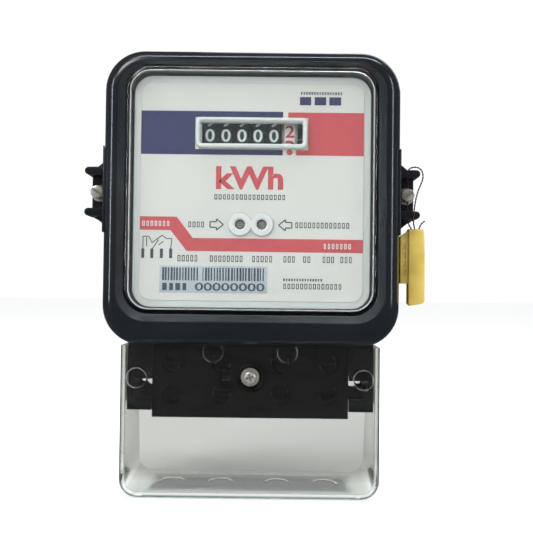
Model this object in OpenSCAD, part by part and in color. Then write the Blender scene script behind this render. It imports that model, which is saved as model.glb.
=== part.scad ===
// Single-phase electricity meter with a six-drum register, front frame with a clear window,
// and a clear terminal cover.
// Every sub-part is drawn lying down: x to the right, y up the wall, z out of the wall.
// stand() then turns it upright, so that +Z is up, the wall is the plane Y = 0 and the front faces -Y.
// The origin is the centre of the face that rests on the wall.

/* [Front frame] */
// Width of the front frame
frame_w = 112; // [104:1:136]
// Height of the front frame
frame_h = 111.5; // [104:0.5:136]
// Radius of the front frame's corners
frame_r = 15; // [12:0.5:18]
// Height of the frame's front ridge above the wall
ridge_z = 59; // [56:0.5:72]
// Thickness of the moulded housing walls
wall = 2.2; // [1.8:0.1:2.6]
// Width of the sloping chin below the window
chin_w = 11.8; // [10:0.2:14]
// Width of the frame above the window
brow_w = 6.8; // [6:0.2:9]
// Width of the frame beside the window
cheek_w = 8.6; // [7.5:0.1:11]

/* [Rear base] */
// Depth of the rear base from the wall to its rim
base_z = 30; // [26:0.5:36]
// Width of the lower bay that holds the terminal block
bay_w = 95.2; // [90:0.2:95.2]
// How far the terminal block reaches below the front frame
bay_drop = 28.3; // [26:0.1:34]
// Height of the terminal bay above the wall
bay_z = 41; // [36:0.5:44]

/* [Terminal cover] */
// Width of the clear terminal cover
cover_w = 99; // [99:0.5:104]
// Length of the terminal cover below the front frame
cover_drop = 57.9; // [50:0.1:72]
// Height of the terminal cover's face above the wall
cover_z = 48; // [45:0.5:54]
// Wall thickness of the terminal cover
cover_wall = 1.6; // [1.2:0.1:1.6]
// Radius of the terminal cover's lower corners
cover_r = 6.7; // [5:0.1:10]

/* [Window and dial] */
// Height of the window's face above the wall
window_z = 62; // [60:0.5:75]
// Wall thickness of the window
window_wall = 1.8; // [1.4:0.1:2.2]
// Radius of the window's corners
window_r = 9.5; // [8:0.5:11]
// Height of the dial plate's face above the wall
dial_z = 52; // [50:0.5:56]

/* [Register] */
// Outer radius of a number drum
drum_r = 9.5; // [9.3:0.1:9.8]
// Distance from one drum to the next
drum_pitch = 6.1; // [6:0.1:6.8]
// Width of a drum's number band
band_w = 4.2; // [4:0.1:4.2]
// Height of the register opening
view_h = 8.2; // [7:0.1:9]
// Radius of the drum shaft
drum_shaft_r = 1; // [0.8:0.1:1.5]

/* [Terminals] */
// Distance between the two middle terminals
terminal_gap_mid = 22.8; // [22:0.2:26]
// Distance from a middle terminal to the outer one beside it
terminal_pitch = 19.1; // [17:0.1:19.2]
// Radius of a wire bore
wire_r = 3.4; // [2.5:0.1:3.8]
// Radius of a terminal screw's shank
clamp_r = 2.5; // [2:0.1:2.6]
// Travel of a terminal screw
clamp_travel = 5; // [4:0.5:6]

/* [Ears and fixings] */
// How far the sealing screws stand out from the front frame's sides
ear_reach = 4.2; // [3.8:0.1:5.2]
// Radius of the sealing screws' heads
ear_head_r = 2.5; // [2:0.1:2.8]
// Radius of the terminal cover screw's head
cover_head_r = 2.4; // [2:0.1:3]
// Distance between the two lower fixing holes
fixing_span = 84; // [83.6:0.2:84.4]
// Radius of the fixing holes
fixing_r = 2.4; // [2:0.1:2.6]

/* [Hidden] */
$fn = 64;
gap = 0.3;
fit = 0.05;
drum_count = 6;
eps = 0.01;

// Front frame outline
frame_top = 85;
frame_bottom = frame_top - frame_h;
frame_y = (frame_top + frame_bottom) / 2;
shoulder_z = ridge_z - 8;
skirt_notch_z = bay_z + 0.5;

// Window opening in the frame
open_w = frame_w - 2 * cheek_w;
open_h = frame_h - chin_w - brow_w;
open_y = frame_bottom + chin_w + open_h / 2;
open_r = window_r + 0.2;
window_w = open_w - 0.4;
window_h = open_h - 0.4;
plate_back_z = shoulder_z - 5;
gasket_t = 0.8;
flange_t = 2;
flange_lap = 3;

// Dial plate, held inside the window
dial_w = window_w - 2 * window_wall - 1;
dial_h = window_h - 2 * window_wall - 1;
dial_r = window_r - window_wall - 0.5;
dial_t = 2;
label_t = 0.3;
label_margin = 2.7;
bezel_x = -0.3;
bezel_y = open_y + 22.1;
bezel_rise = 3;
bezel_lip = 1.65;
view_w = drum_count * drum_pitch + 2;
led_y = open_y - 12.3;
led_x = -0.25;
led_pitch = 8.2;
led_boss_r = 4.4;
led_hole_r = 1.9;

// Register train: module 0.8 for the transfer gears and 0.4 for the drive
drum_y = bezel_y - 0.2;
drum_z = dial_z - 3.4 - drum_r;
drum_left = bezel_x + 0.2 - drum_count * drum_pitch / 2;
ring_w = 0.85;
driver_w = 0.85;
ring_teeth = 20;
ring_pitch_r = 8;
pinion_teeth = 8;
pinion_pitch_r = 3.2;
mesh_dist = ring_pitch_r + pinion_pitch_r;
mesh_angle = 36.87;
pinion_y = drum_y + mesh_dist * sin(mesh_angle);
pinion_z = drum_z - mesh_dist * cos(mesh_angle);
pinion_shaft_r = 0.7;
step_angle = -36.87;
idler_dist = 9.6;
idler_y = drum_y + idler_dist * sin(step_angle);
idler_z = drum_z - idler_dist * cos(step_angle);
rotor_dist = 8;
rotor_y = idler_y + rotor_dist * sin(step_angle);
rotor_z = idler_z - rotor_dist * cos(step_angle);
drive_x = drum_left + (drum_count - 1) * drum_pitch + band_w + 0.15;
wheel_x = drive_x + 1.8;
side_t = 1.6;
side_left_x = drum_left - 2.6;
side_right_x = wheel_x + 2.2;

// Terminals
terminal_x = [-terminal_gap_mid / 2 - terminal_pitch, -terminal_gap_mid / 2,
              terminal_gap_mid / 2, terminal_gap_mid / 2 + terminal_pitch];
block_w = 2 * terminal_x[3] + 14.8;
block_top = frame_bottom + 10.5;
block_bottom = frame_bottom - bay_drop;
block_back = 2.6;
bay_low = block_bottom + 2.7;
bay_wall_t = 2;
bay_flange_t = 3;
wire_z = 14;
cage_w = 10.4;
cage_back = wire_z - wire_r - 2.6;
cage_front = wire_z + wire_r + 6.5;
cage_bottom = block_bottom + 2.2;
clamp_y = [block_bottom + 9, block_bottom + 21];
clamp_head_r = clamp_r + 0.8;
clamp_head_t = 3;
clamp_tip_z = wire_z + wire_r + 0.2;
clamp_head_z = cage_front + clamp_travel + 0.3;
tail_t = 1.5;
tail_len = 8;

// Ears with the sealing screws
ear_x = frame_w / 2 + ear_reach;
ear_y = frame_y + 2.9;
ear_tip = ear_x + 4.4;
lug_dy = 7.95;
lug_r = 1.5;
ear_floor_z = base_z + gap + 6.5;
lug_top_z = ear_floor_z + 9.5;
ear_root = frame_w / 2 - 1;
ear_thread_r = 1.5;
washer_t = 0.8;
ear_head_t = 7;
seal_hole_z = ear_floor_z + washer_t + 4.8;
seal_hole_r = 0.7;
pad_top = ear_y + 16.2;
pad_bottom = ear_y - 16.2;

// Fixing
fixing_y = block_bottom + 11;
fixing_room = 3.7;
hook_y = frame_top - 11;
hook_r = 3;
hook_w = 22;
hook_h = 16;
hook_t = 1.5;
hook_head_r = 4.4;
hook_head_z = 5.4;
rivet_r = 1.25;

// Terminal cover fixing
cover_bottom = frame_bottom - cover_drop;
cover_screw_y = frame_bottom - 12.1;
boss_r = 6;
pocket_r = 4.8;
pocket_z = cover_z - 3;
cover_shank_r = 1.95;
eye_x = -8.8;

// Circuit board
pcb_w = 88;
pcb_h = 74;
pcb_t = 1.6;
pcb_z = 10;
pcb_y = open_y + 7.75;
pcb_low = pcb_y - pcb_h / 2;
post_x = pcb_w / 2 - 5;
post_dy = pcb_h / 2 - 5;

// Sealing wire: points chosen along its lie, from inside the seal up through the right ear,
// over the upper lug, down again into the seal and out as a short tail
wire_d = 0.65;
seal_left = ear_x + 0.2;
seal_w = 6.3;
seal_top = ear_y - 13.25;
seal_len = 29.5;
seal_z = seal_hole_z - 3;
seal_t = 6;
wire_route = [
    [2.9, -17.5, 1.1], [2.9, -15.3, 1.1], [2.6, -13.1, 1.5], [2, -11.2, 3], [1.7, -9.5, 4.5], [1.8, -7.2, 5],
    [2.1, -4.4, 5], [2.6, -1.6, 4.8], [3.4, 1.2, 4.4], [4.4, 3.6, 3.8], [5.3, 5.8, 3.2], [5.5, 8, 2.6],
    [4.9, 9.8, 1.9], [3.4, 10.8, 1.2], [1.7, 10.8, 0.6], [0.5, 10.1, 0.2], [0, 8.4, 0], [0, 5, 0], [0, 2, 0],
    [0, -2, 0], [0, -5, 0], [0, -8.4, 0], [0.2, -10, 0], [0.8, -11.6, -0.2], [1.7, -13.2, -0.4],
    [2, -15.4, -0.5], [2, -17.6, -0.5], [2.5, -19.2, -0.5], [3.5, -19.4, -0.5], [4.2, -17.9, -0.4],
    [4.4, -15.6, -0.2], [4.5, -13.2, 0.2], [5.1, -11.4, 1], [6.4, -10, 1.8]
];

// ---- helpers ----

module stand() {
    rotate([90, 0, 0])
        children();
}

module round_rect(w, h, r) {
    union() {
        square([w - 2 * r, h], center = true);
        square([w, h - 2 * r], center = true);
        for (sx = [-1, 1], sy = [-1, 1])
            translate([sx * (w / 2 - r), sy * (h / 2 - r)])
                circle(r);
    }
}

module slab(w, h, r, z0, z1, cy) {
    translate([0, cy, z0])
        linear_extrude(z1 - z0)
            round_rect(w, h, r);
}

// A box from its lowest to its highest corner
module block(lo, hi) {
    translate(lo)
        cube(hi - lo);
}

// A cylinder or extrusion whose axis runs along x
module along_x(x, y, z) {
    translate([x, y, z])
        rotate([0, 90, 0])
            children();
}

// A cylinder whose axis runs up the wall, starting at y0
module up_rod(x, y0, z, r, len) {
    translate([x, y0, z])
        rotate([-90, 0, 0])
            cylinder(r = r, h = len);
}

// Outline of a gear whose teeth have straight flanks; root_a and tip_a are half widths in degrees
function gear_outline(teeth, root, tip, root_a, tip_a) = [
    for (i = [0 : teeth - 1])
        for (p = [[root, -root_a], [tip, -tip_a], [tip, tip_a], [root, root_a]])
            p[0] * [cos(360 * i / teeth + p[1]), sin(360 * i / teeth + p[1])]
];

module gear(teeth, root, tip, root_a, tip_a, h, bore) {
    difference() {
        linear_extrude(h)
            polygon(gear_outline(teeth, root, tip, root_a, tip_a));
        translate([0, 0, -eps])
            cylinder(r = bore, h = h + 2 * eps, $fn = 32);
    }
}

// ---- rear base ----

base_w = frame_w - 1.6;
base_h = frame_h - 1.6;
base_r = frame_r - 0.8;
rim_w = frame_w - 2 * wall - 2 * gap;
rim_h = frame_h - 2 * wall - 2 * gap;
rim_r = frame_r - wall - gap;
floor_t = 2.4;
rim_t = 1.6;
insert_r = 2.3;

module ear_outline(side) {
    reach = ear_tip - 1;
    points = [[ear_root - 3, ear_y + 12], [frame_w / 2, ear_y + 12], [ear_x, ear_y + lug_dy + 1.4],
              [reach, ear_y + lug_dy + 1.2], [reach, ear_y - lug_dy - 1.4], [ear_x + 2, ear_y - lug_dy - 2],
              [frame_w / 2, ear_y - 15], [ear_root - 3, ear_y - 15]];
    polygon([for (p = points) [side * p[0], p[1]]]);
}

module rear_base() {
    color("#16191b")
        difference() {
            union() {
                slab(base_w, base_h, base_r, 0, base_z, frame_y);
                slab(rim_w, rim_h, rim_r, base_z - 6, base_z + 3, frame_y);
                block([-bay_w / 2, bay_low, 0], [bay_w / 2, frame_bottom + 1, floor_t]);
                block([-block_w / 2 - gap, block_bottom, 0], [block_w / 2 + gap, frame_bottom + 1, floor_t]);
                for (side = [-1, 1]) {
                    translate([0, 0, base_z - 7])
                        linear_extrude(7)
                            ear_outline(side);
                    bay_wall(side);
                }
            }
            difference() {
                slab(base_w - 2 * wall, base_h - 2 * wall, base_r - wall, floor_t, base_z + 4, frame_y);
                translate([0, hook_y, 0])
                    cylinder(r = hook_head_r + 1, h = hook_head_z + 1.4);
            }
            slab(rim_w - 2 * rim_t, rim_h - 2 * rim_t, rim_r - rim_t, base_z - 7, base_z + 4, frame_y);
            block([-block_w / 2 - 0.2, frame_bottom - 1, floor_t], [block_w / 2 + 0.2, block_top, base_z + 4]);
            for (side = [-1, 1]) {
                translate([side * ear_x, ear_y, base_z - 8])
                    cylinder(r = insert_r + fit, h = 9);
                translate([side * fixing_span / 2, fixing_y, -1])
                    cylinder(r = fixing_r, h = floor_t + 2);
            }
            hook_recess();
        }
    base_posts();
}

// Side wall of the terminal bay, and its front flange, which is open over the fixing hole
module bay_wall(side) {
    inner = bay_w / 2 - bay_wall_t;
    edge = block_w / 2 + gap;
    x0 = side > 0 ? inner : -bay_w / 2;
    f0 = side > 0 ? edge : -inner - eps;
    f1 = side > 0 ? inner + eps : -edge;
    block([x0, bay_low, 0], [x0 + bay_wall_t, frame_bottom + 1, bay_z]);
    block([f0, bay_low, bay_z - bay_flange_t], [f1, fixing_y - fixing_room, bay_z]);
    block([f0, fixing_y + fixing_room, bay_z - bay_flange_t], [f1, frame_bottom + 1, bay_z]);
}

// Shallow recess in the back, where the hook plate lies and the wall screw's head goes
module hook_recess() {
    block([-hook_w / 2 - 0.2, hook_y - hook_h / 2 - 0.2, -1], [hook_w / 2 + 0.2, hook_y + hook_h / 2 + 0.2, hook_t]);
    translate([0, hook_y, -1])
        cylinder(r = hook_head_r, h = hook_head_z + 1);
    for (side = [-1, 1])
        translate([side * (hook_w / 2 - 3), hook_y, -1])
            cylinder(r = rivet_r + fit, h = floor_t + 2);
}

module base_posts() {
    color("#16191b")
        for (sx = [-1, 1], sy = [-1, 1])
            translate([sx * post_x, pcb_y + sy * post_dy, floor_t])
                difference() {
                    cylinder(r = 3, h = pcb_z - floor_t);
                    translate([0, 0, 1])
                        cylinder(r = 1.2 + fit, h = pcb_z);
                }
}

module wall_hook() {
    color("#c9ccd0")
        difference() {
            block([-hook_w / 2, hook_y - hook_h / 2, 0], [hook_w / 2, hook_y + hook_h / 2, hook_t - fit]);
            translate([0, hook_y, -1])
                cylinder(r = hook_r, h = hook_t + 2);
            for (side = [-1, 1])
                translate([side * (hook_w / 2 - 3), hook_y, -1])
                    cylinder(r = rivet_r + fit, h = hook_t + 2);
        }
}

module hook_rivets() {
    color("#b9bcc0")
        for (side = [-1, 1])
            translate([side * (hook_w / 2 - 3), hook_y, 0]) {
                cylinder(r = rivet_r, h = floor_t + 0.1);
                translate([0, 0, floor_t + 0.02])
                    cylinder(r = 2.4, h = 1);
            }
}

module brass_inserts() {
    color("#b08d3c") {
        for (side = [-1, 1])
            translate([side * ear_x, ear_y, base_z - 6.8])
                tube(insert_r, ear_thread_r + fit, 6.8);
        translate([0, cover_screw_y, bay_z - 8])
            tube(3, cover_shank_r + fit, 8);
    }
}

module tube(outer, inner, h) {
    difference() {
        cylinder(r = outer, h = h);
        translate([0, 0, -eps])
            cylinder(r = inner, h = h + 2 * eps);
    }
}

// ---- terminals ----

// Moulded block with a chamber for each terminal, open below for its wire, and wells for its screws
module terminal_block() {
    color("#1b1d20")
        difference() {
            block([-block_w / 2, block_bottom, block_back], [block_w / 2, block_top, bay_z]);
            for (x = terminal_x) {
                block([x - cage_w / 2 - 0.1, block_bottom - 1, cage_back - 0.1],
                      [x + cage_w / 2 + 0.1, block_top + 1, cage_front + 0.1]);
                for (y = clamp_y)
                    translate([x, y, cage_front - 1])
                        cylinder(r = clamp_head_r + 0.4, h = bay_z);
            }
            translate([0, cover_screw_y, bay_z - 16])
                cylinder(r = cover_shank_r + 0.5, h = 17);
            translate([0, cover_screw_y, bay_z - 8])
                cylinder(r = 3 + fit, h = 9);
            block([-block_w / 2 - 1, frame_bottom + 2.2, bay_z - 5], [block_w / 2 + 1, block_top + 1, bay_z + 1]);
        }
}

module terminal(i) {
    x = terminal_x[i];
    color("#b8963e")
        difference() {
            union() {
                block([x - cage_w / 2, cage_bottom + 0.1, cage_back], [x + cage_w / 2, block_top - 2, cage_front]);
                block([x - cage_w / 2 + 1, block_top - 3, wire_z - 2],
                      [x + cage_w / 2 - 1, block_top + tail_len, wire_z - 2 + tail_t]);
            }
            up_rod(x, cage_bottom - 1, wire_z, wire_r, block_top - 3 - cage_bottom - 4);
            for (y = clamp_y)
                translate([x, y, wire_z])
                    cylinder(r = clamp_r + fit, h = cage_front);
        }
}

module clamp_screw(i) {
    x = terminal_x[floor(i / 2)];
    color("#cfd0cc")
        translate([x, clamp_y[i % 2], 0])
            difference() {
                union() {
                    translate([0, 0, clamp_tip_z])
                        cylinder(r = clamp_r, h = clamp_head_z - clamp_tip_z);
                    translate([0, 0, clamp_head_z])
                        cylinder(r = clamp_head_r, h = clamp_head_t);
                }
                slot_cut(clamp_head_r, clamp_head_z + clamp_head_t, 1, 1.3);
            }
}

// A screwdriver slot across a head of radius r, whose top is at z
module slot_cut(r, z, width, depth) {
    block([-r - 1, -width / 2, z - depth], [r + 1, width / 2, z + 1]);
}

// A cross recess in a head, whose top is at z
module cross_cut(arm, z, width, depth) {
    block([-arm, -width / 2, z - depth], [arm, width / 2, z + 1]);
    block([-width / 2, -arm, z - depth], [width / 2, arm, z + 1]);
}

module current_shunt() {
    y0 = block_top + 2;
    y1 = block_top + tail_len;
    z0 = wire_z - 2 + tail_t;
    color("#a9763c")
        difference() {
            block([terminal_x[0] - 4, y0, z0], [terminal_x[1] + 4, y1, z0 + 1.5]);
            block([terminal_x[0] + 8, y0 - 1, z0 - 1], [terminal_x[1] - 8, y1 - 3.4, z0 + 3]);
        }
}

// Pair of thin insulated leads from the shunt to the board
module sense_leads() {
    x0 = (terminal_x[0] + terminal_x[1]) / 2;
    z0 = wire_z - 2 + tail_t + 1.5;
    y0 = block_top + tail_len - 1.6;
    color("#7c2f28")
        for (side = [-1, 1]) {
            translate([x0 + side * 1.5, y0, z0])
                cylinder(r = 0.6, h = 2.2);
            up_rod(x0 + side * 1.5, y0 - 0.6, z0 + 2.2, 0.6, pcb_low + 2 - y0);
            translate([x0 + side * 1.5, pcb_low + 1.2, pcb_z + pcb_t])
                cylinder(r = 0.6, h = z0 + 2.2 - pcb_z - pcb_t);
        }
}

// ---- front cover ----

module frame_ring(w, h, r, z0, z1, cy) {
    difference() {
        slab(w, h, r, z0, z1, cy);
        slab(open_w, open_h, open_r, z0 - 1, z1 + 1, open_y);
    }
}

// Terraces from the frame's side wall up to its ridge: how far each lies in from the side edges,
// its rise above the shoulder, and how far it lies up from the bottom edge
terraces = [[0.4, 1.6, 0.6], [1.1, 3.2, 1.8], [2.1, 4.8, 3.4], [3.3, 6.2, 5.4], [4.8, 7.4, 7.4]];

module front_frame() {
    inner_w = frame_w - 2 * wall;
    inner_h = frame_h - 2 * wall;
    color("#1c2226")
        difference() {
            union() {
                slab(frame_w, frame_h, frame_r, base_z + gap, shoulder_z, frame_y);
                ridge_body();
                for (side = [-1, 1]) {
                    side_pad(side);
                    front_ear(side);
                }
            }
            slab(open_w, open_h, open_r, plate_back_z - 1, ridge_z + 5, open_y);
            slab(inner_w, inner_h, frame_r - wall, base_z - 1, plate_back_z, frame_y);
            block([-bay_w / 2 - 1, frame_bottom - 1, base_z - 1], [bay_w / 2 + 1, frame_bottom + wall + 1, skirt_notch_z]);
            for (side = [-1, 1])
                translate([side * ear_x, ear_y, base_z - 1])
                    cylinder(r = ear_thread_r + 0.3, h = 20);
        }
}

// The ridge round the window, and the slopes outside and inside it
module ridge_body() {
    for (step = terraces) {
        low = frame_bottom + step[2];
        high = frame_top - step[0] * 0.9;
        slab(frame_w - 2 * step[0], high - low, frame_r - step[0], shoulder_z - eps,
             shoulder_z + step[1], (low + high) / 2);
    }
}

// Straight raised pad on the side of the frame, beside the ear
module side_pad(side) {
    x1 = side * frame_w / 2;
    x0 = side * (frame_w / 2 - 4.2);
    block([min(x0, x1), pad_bottom, shoulder_z - 1], [max(x0, x1), pad_top, shoulder_z + 5.6]);
}

module front_ear(side) {
    z0 = base_z + gap;
    difference() {
        union() {
            translate([0, 0, z0])
                linear_extrude(ear_floor_z - z0)
                    ear_outline(side);
            for (dy = [-lug_dy, lug_dy])
                ear_lug(side, ear_y + dy);
        }
        for (dy = [-lug_dy, lug_dy])
            up_rod(side * ear_x, ear_y + dy - 3, seal_hole_z, seal_hole_r, 6);
    }
}

// Upright rib with a round outer end, drilled for the sealing wire
module ear_lug(side, y) {
    x0 = side > 0 ? ear_root - 1 : -(ear_tip - lug_r);
    len = ear_tip - lug_r - ear_root + 1;
    block([x0, y - lug_r, ear_floor_z - 3], [x0 + len, y + lug_r, lug_top_z]);
    translate([side * (ear_tip - lug_r), y, ear_floor_z - 3])
        cylinder(r = lug_r, h = lug_top_z - ear_floor_z + 3);
}

module window() {
    z0 = plate_back_z - gasket_t;
    color("#dfe8ea", 0.35)
        difference() {
            union() {
                slab(window_w, window_h, window_r, z0 - 1, window_z, open_y);
                slab(window_w + 2 * flange_lap, window_h + 2 * flange_lap, window_r + flange_lap,
                     z0 - flange_t, z0, open_y);
            }
            slab(window_w - 2 * window_wall, window_h - 2 * window_wall, window_r - window_wall,
                 z0 - flange_t - 1, window_z - window_wall, open_y);
        }
}

module window_gasket() {
    z0 = plate_back_z - gasket_t;
    color("#2b2b2b")
        difference() {
            slab(window_w + 2 * flange_lap, window_h + 2 * flange_lap, window_r + flange_lap,
                 z0, plate_back_z, open_y);
            slab(window_w + 0.4, window_h + 0.4, window_r + 0.2, z0 - 1, plate_back_z + 1, open_y);
        }
}

module ear_washers() {
    color("#c4c2b6")
        for (side = [-1, 1])
            translate([side * ear_x, ear_y, ear_floor_z])
                tube(3.3, ear_thread_r + 0.2, washer_t);
}

module ear_screw(side) {
    tip_z = base_z - 6.5;
    head_z = ear_floor_z + washer_t;
    color("#cfcabb")
        translate([side * ear_x, ear_y, 0])
            difference() {
                union() {
                    translate([0, 0, tip_z])
                        cylinder(r = ear_thread_r, h = head_z - tip_z);
                    translate([0, 0, head_z])
                        cylinder(r = ear_head_r, h = ear_head_t);
                }
                slot_cut(ear_head_r, head_z + ear_head_t, 0.9, 1.2);
                up_rod(0, -5, seal_hole_z, seal_hole_r, 10);
            }
}

// ---- dial and label ----

module dial_plate() {
    z0 = dial_z - dial_t;
    color("#dee3dd")
        difference() {
            union() {
                slab(dial_w, dial_h, dial_r, z0, dial_z, open_y);
                bezel_body();
                for (side = [-1, 1])
                    translate([led_x + side * led_pitch / 2, led_y, z0])
                        cylinder(r = led_boss_r, h = dial_t + 1.2);
                for (sx = [-1, 1], sy = [-1, 1])
                    translate([sx * post_x, pcb_y + sy * post_dy, pcb_z + pcb_t])
                        cylinder(r = 3, h = z0 - pcb_z - pcb_t + eps);
            }
            translate([bezel_x, bezel_y, z0 - 3])
                linear_extrude(12)
                    square([view_w, view_h], center = true);
            for (side = [-1, 1])
                translate([led_x + side * led_pitch / 2, led_y, z0 - 1])
                    cylinder(r = led_hole_r, h = 6);
            for (sx = [-1, 1], sy = [-1, 1])
                translate([sx * post_x, pcb_y + sy * post_dy, pcb_z])
                    cylinder(r = 1.2 + fit, h = 8);
        }
}

module bezel_body() {
    translate([bezel_x, bezel_y, dial_z - dial_t])
        linear_extrude(dial_t + bezel_rise)
            round_rect(view_w + 2 * bezel_lip, view_h + 2 * bezel_lip, 1.4);
}

module printed_label() {
    w = dial_w - 2 * label_margin;
    h = dial_h - 2 * label_margin;
    color("#e6e9e4")
        difference() {
            slab(w, h, dial_r - label_margin, dial_z, dial_z + label_t, open_y);
            translate([bezel_x, bezel_y, dial_z - 1])
                linear_extrude(3)
                    round_rect(view_w + 2 * bezel_lip + 0.4, view_h + 2 * bezel_lip + 0.4, 1.6);
            for (side = [-1, 1])
                translate([led_x + side * led_pitch / 2, led_y, dial_z - 1])
                    cylinder(r = led_boss_r + 0.2, h = 3);
        }
}

module barcode_label() {
    z0 = dial_z + label_t;
    y0 = open_y - dial_h / 2 + 6.2;
    color("#bfd0dc")
        block([-dial_w / 2 + 10, y0, z0], [-dial_w / 2 + 51, y0 + 10.4, z0 + 0.1]);
}

// ---- register ----

module register_frame() {
    back_z = pcb_z + pcb_t;
    color("#d8d8d2")
        difference() {
            union() {
                for (x = [side_left_x, side_right_x])
                    block([x, rotor_y - 6, back_z], [x + side_t, pinion_y + 5, dial_z - dial_t - gap]);
                block([side_left_x, pinion_y + 4.6, pinion_z - 6],
                      [side_right_x + side_t, pinion_y + 6.2, pinion_z + 8]);
                block([side_left_x, rotor_y - 7.6, rotor_z - 5],
                      [side_right_x + side_t, rotor_y - 6, rotor_z + 7]);
            }
            along_x(side_left_x - 1, drum_y, drum_z)
                cylinder(r = drum_shaft_r + 0.02, h = 60, $fn = 32);
            along_x(side_left_x - 1, pinion_y, pinion_z)
                cylinder(r = pinion_shaft_r + 0.02, h = 60, $fn = 32);
            along_x(side_right_x - 1, idler_y, idler_z)
                cylinder(r = 0.75, h = 4, $fn = 32);
            along_x(side_right_x - 1, rotor_y, rotor_z)
                cylinder(r = 0.65, h = 4, $fn = 32);
        }
}

module drum_shaft() {
    color("#b9bdc2")
        along_x(side_left_x - 0.4, drum_y, drum_z)
            cylinder(r = drum_shaft_r, h = side_right_x + side_t - side_left_x + 0.8, $fn = 32);
}

module pinion_shaft() {
    color("#b9bdc2")
        along_x(side_left_x - 0.4, pinion_y, pinion_z)
            cylinder(r = pinion_shaft_r, h = side_right_x + side_t - side_left_x + 0.8, $fn = 32);
}

// Number drum k, counted from the left; the last one carries the drive gear instead of a ring gear
module drum(k) {
    last = k == drum_count - 1;
    x0 = drum_left + k * drum_pitch;
    color(last ? "#ded9d2" : "#2b3034")
        along_x(x0, drum_y, drum_z)
            difference() {
                union() {
                    difference() {
                        cylinder(r = drum_r, h = band_w);
                        translate([0, 0, -1])
                            cylinder(r = drum_r - 1.2, h = 2.4);
                    }
                    cylinder(r = 2.4, h = band_w);
                    translate([0, 0, band_w - eps])
                        drum_gear(last);
                    if (k > 0)
                        translate([0, 0, -driver_w])
                            drum_driver();
                }
                translate([0, 0, -2])
                    cylinder(r = drum_shaft_r + fit, h = band_w + 6, $fn = 32);
            }
}

module drum_gear(last) {
    if (last)
        rotate([0, 0, step_angle])
            gear(40, 7.5, 8.35, 2.6, 1, ring_w, drum_shaft_r + fit);
    else
        rotate([0, 0, mesh_angle + 180 / ring_teeth])
            gear(ring_teeth, 6.9, 8.7, 4.9, 2.2, ring_w, drum_shaft_r + fit);
}

// Disc with the two teeth that carry to the next drum once a turn
module drum_driver() {
    lock_r = mesh_dist - 4.1;
    tooth = 180 / ring_teeth;
    linear_extrude(driver_w + 1.5)
        union() {
            circle(lock_r);
            for (a = [-tooth, tooth])
                rotate([0, 0, mesh_angle + a])
                    polygon([[lock_r - 1, -0.7], [8.3, -0.32], [8.3, 0.32], [lock_r - 1, 0.7]]);
        }
}

// Pinion that carries from drum k + 1 back to drum k: eight teeth beside the ring gear of
// drum k, four of them long enough to reach the driver teeth of drum k + 1
module transfer_pinion(k) {
    x0 = drum_left + k * drum_pitch + band_w + 0.1;
    color("#8b8f88")
        along_x(x0, pinion_y, pinion_z)
            rotate([0, 0, mesh_angle + 180])
                union() {
                    gear(pinion_teeth, 2.2, 3.9, 12, 5, 0.8, pinion_shaft_r + fit);
                    rotate([0, 0, 45])
                        translate([0, 0, 0.8 - eps])
                            gear(4, 2.2, 3.9, 12, 5, 0.85, pinion_shaft_r + fit);
                }
}

// Compound gear between the motor and the last drum
module drive_gear() {
    color("#d9d4c4")
        along_x(drive_x, idler_y, idler_z) {
            rotate([0, 0, step_angle + 180 + 22.5])
                gear_solid(8, 1.1, 1.95, 13, 5, wheel_x - drive_x + eps);
            translate([0, 0, wheel_x - drive_x])
                rotate([0, 0, step_angle])
                    gear_solid(32, 5.9, 6.75, 3.2, 1.3, 1);
            cylinder(r = 0.7, h = side_right_x + side_t - drive_x, $fn = 32);
        }
}

module gear_solid(teeth, root, tip, root_a, tip_a, h) {
    linear_extrude(h)
        polygon(gear_outline(teeth, root, tip, root_a, tip_a));
}

motor_x = wheel_x - 8;
rotor_r = 2.8;
coil_r = 5;
coil_z = pcb_z + pcb_t + coil_r + 0.4;

module motor_rotor() {
    color("#6f7479")
        along_x(motor_x - 1.5, rotor_y, rotor_z) {
            cylinder(r = 0.6, h = side_right_x + side_t - motor_x + 1.5, $fn = 32);
            translate([0, 0, 2])
                cylinder(r = rotor_r, h = 5);
            translate([0, 0, wheel_x - motor_x + 1.4])
                rotate([0, 0, step_angle + 180 + 22.5])
                    gear_solid(8, 1.1, 1.95, 13, 5, 1.2);
        }
}

// Laminated pole plate round the rotor, and the core that carries the coil
module motor_stator() {
    color("#8d9296")
        difference() {
            union() {
                block([motor_x + 2, rotor_y - 5, coil_z - 1.5], [motor_x + 4, rotor_y + 5, rotor_z + 5]);
                block([motor_x - 12, rotor_y - 2, coil_z - 1.25], [motor_x + 3, rotor_y + 2, coil_z + 1.25]);
            }
            along_x(motor_x + 1, rotor_y, rotor_z)
                cylinder(r = rotor_r + 0.4, h = 4);
        }
}

module motor_coil() {
    color("#a8552c")
        difference() {
            union() {
                along_x(motor_x - 10, rotor_y, coil_z)
                    cylinder(r = 4.2, h = 10);
                for (x = [motor_x - 11, motor_x - 0.5])
                    along_x(x, rotor_y, coil_z)
                        cylinder(r = coil_r, h = 1);
            }
            block([motor_x - 13, rotor_y - 2.1, coil_z - 1.35], [motor_x + 3, rotor_y + 2.1, coil_z + 1.35]);
        }
}

// ---- board ----

module circuit_board() {
    color("#2f6b3c")
        difference() {
            slab(pcb_w, pcb_h, 2, pcb_z, pcb_z + pcb_t, pcb_y);
            for (sx = [-1, 1], sy = [-1, 1])
                translate([sx * post_x, pcb_y + sy * post_dy, pcb_z - 1])
                    cylinder(r = 1.4, h = pcb_t + 2);
        }
}

module board_screws() {
    color("#c7c9c8")
        for (sx = [-1, 1], sy = [-1, 1])
            translate([sx * post_x, pcb_y + sy * post_dy, floor_t + 2])
                cylinder(r = 1.2, h = pcb_z - floor_t + 5);
}

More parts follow.
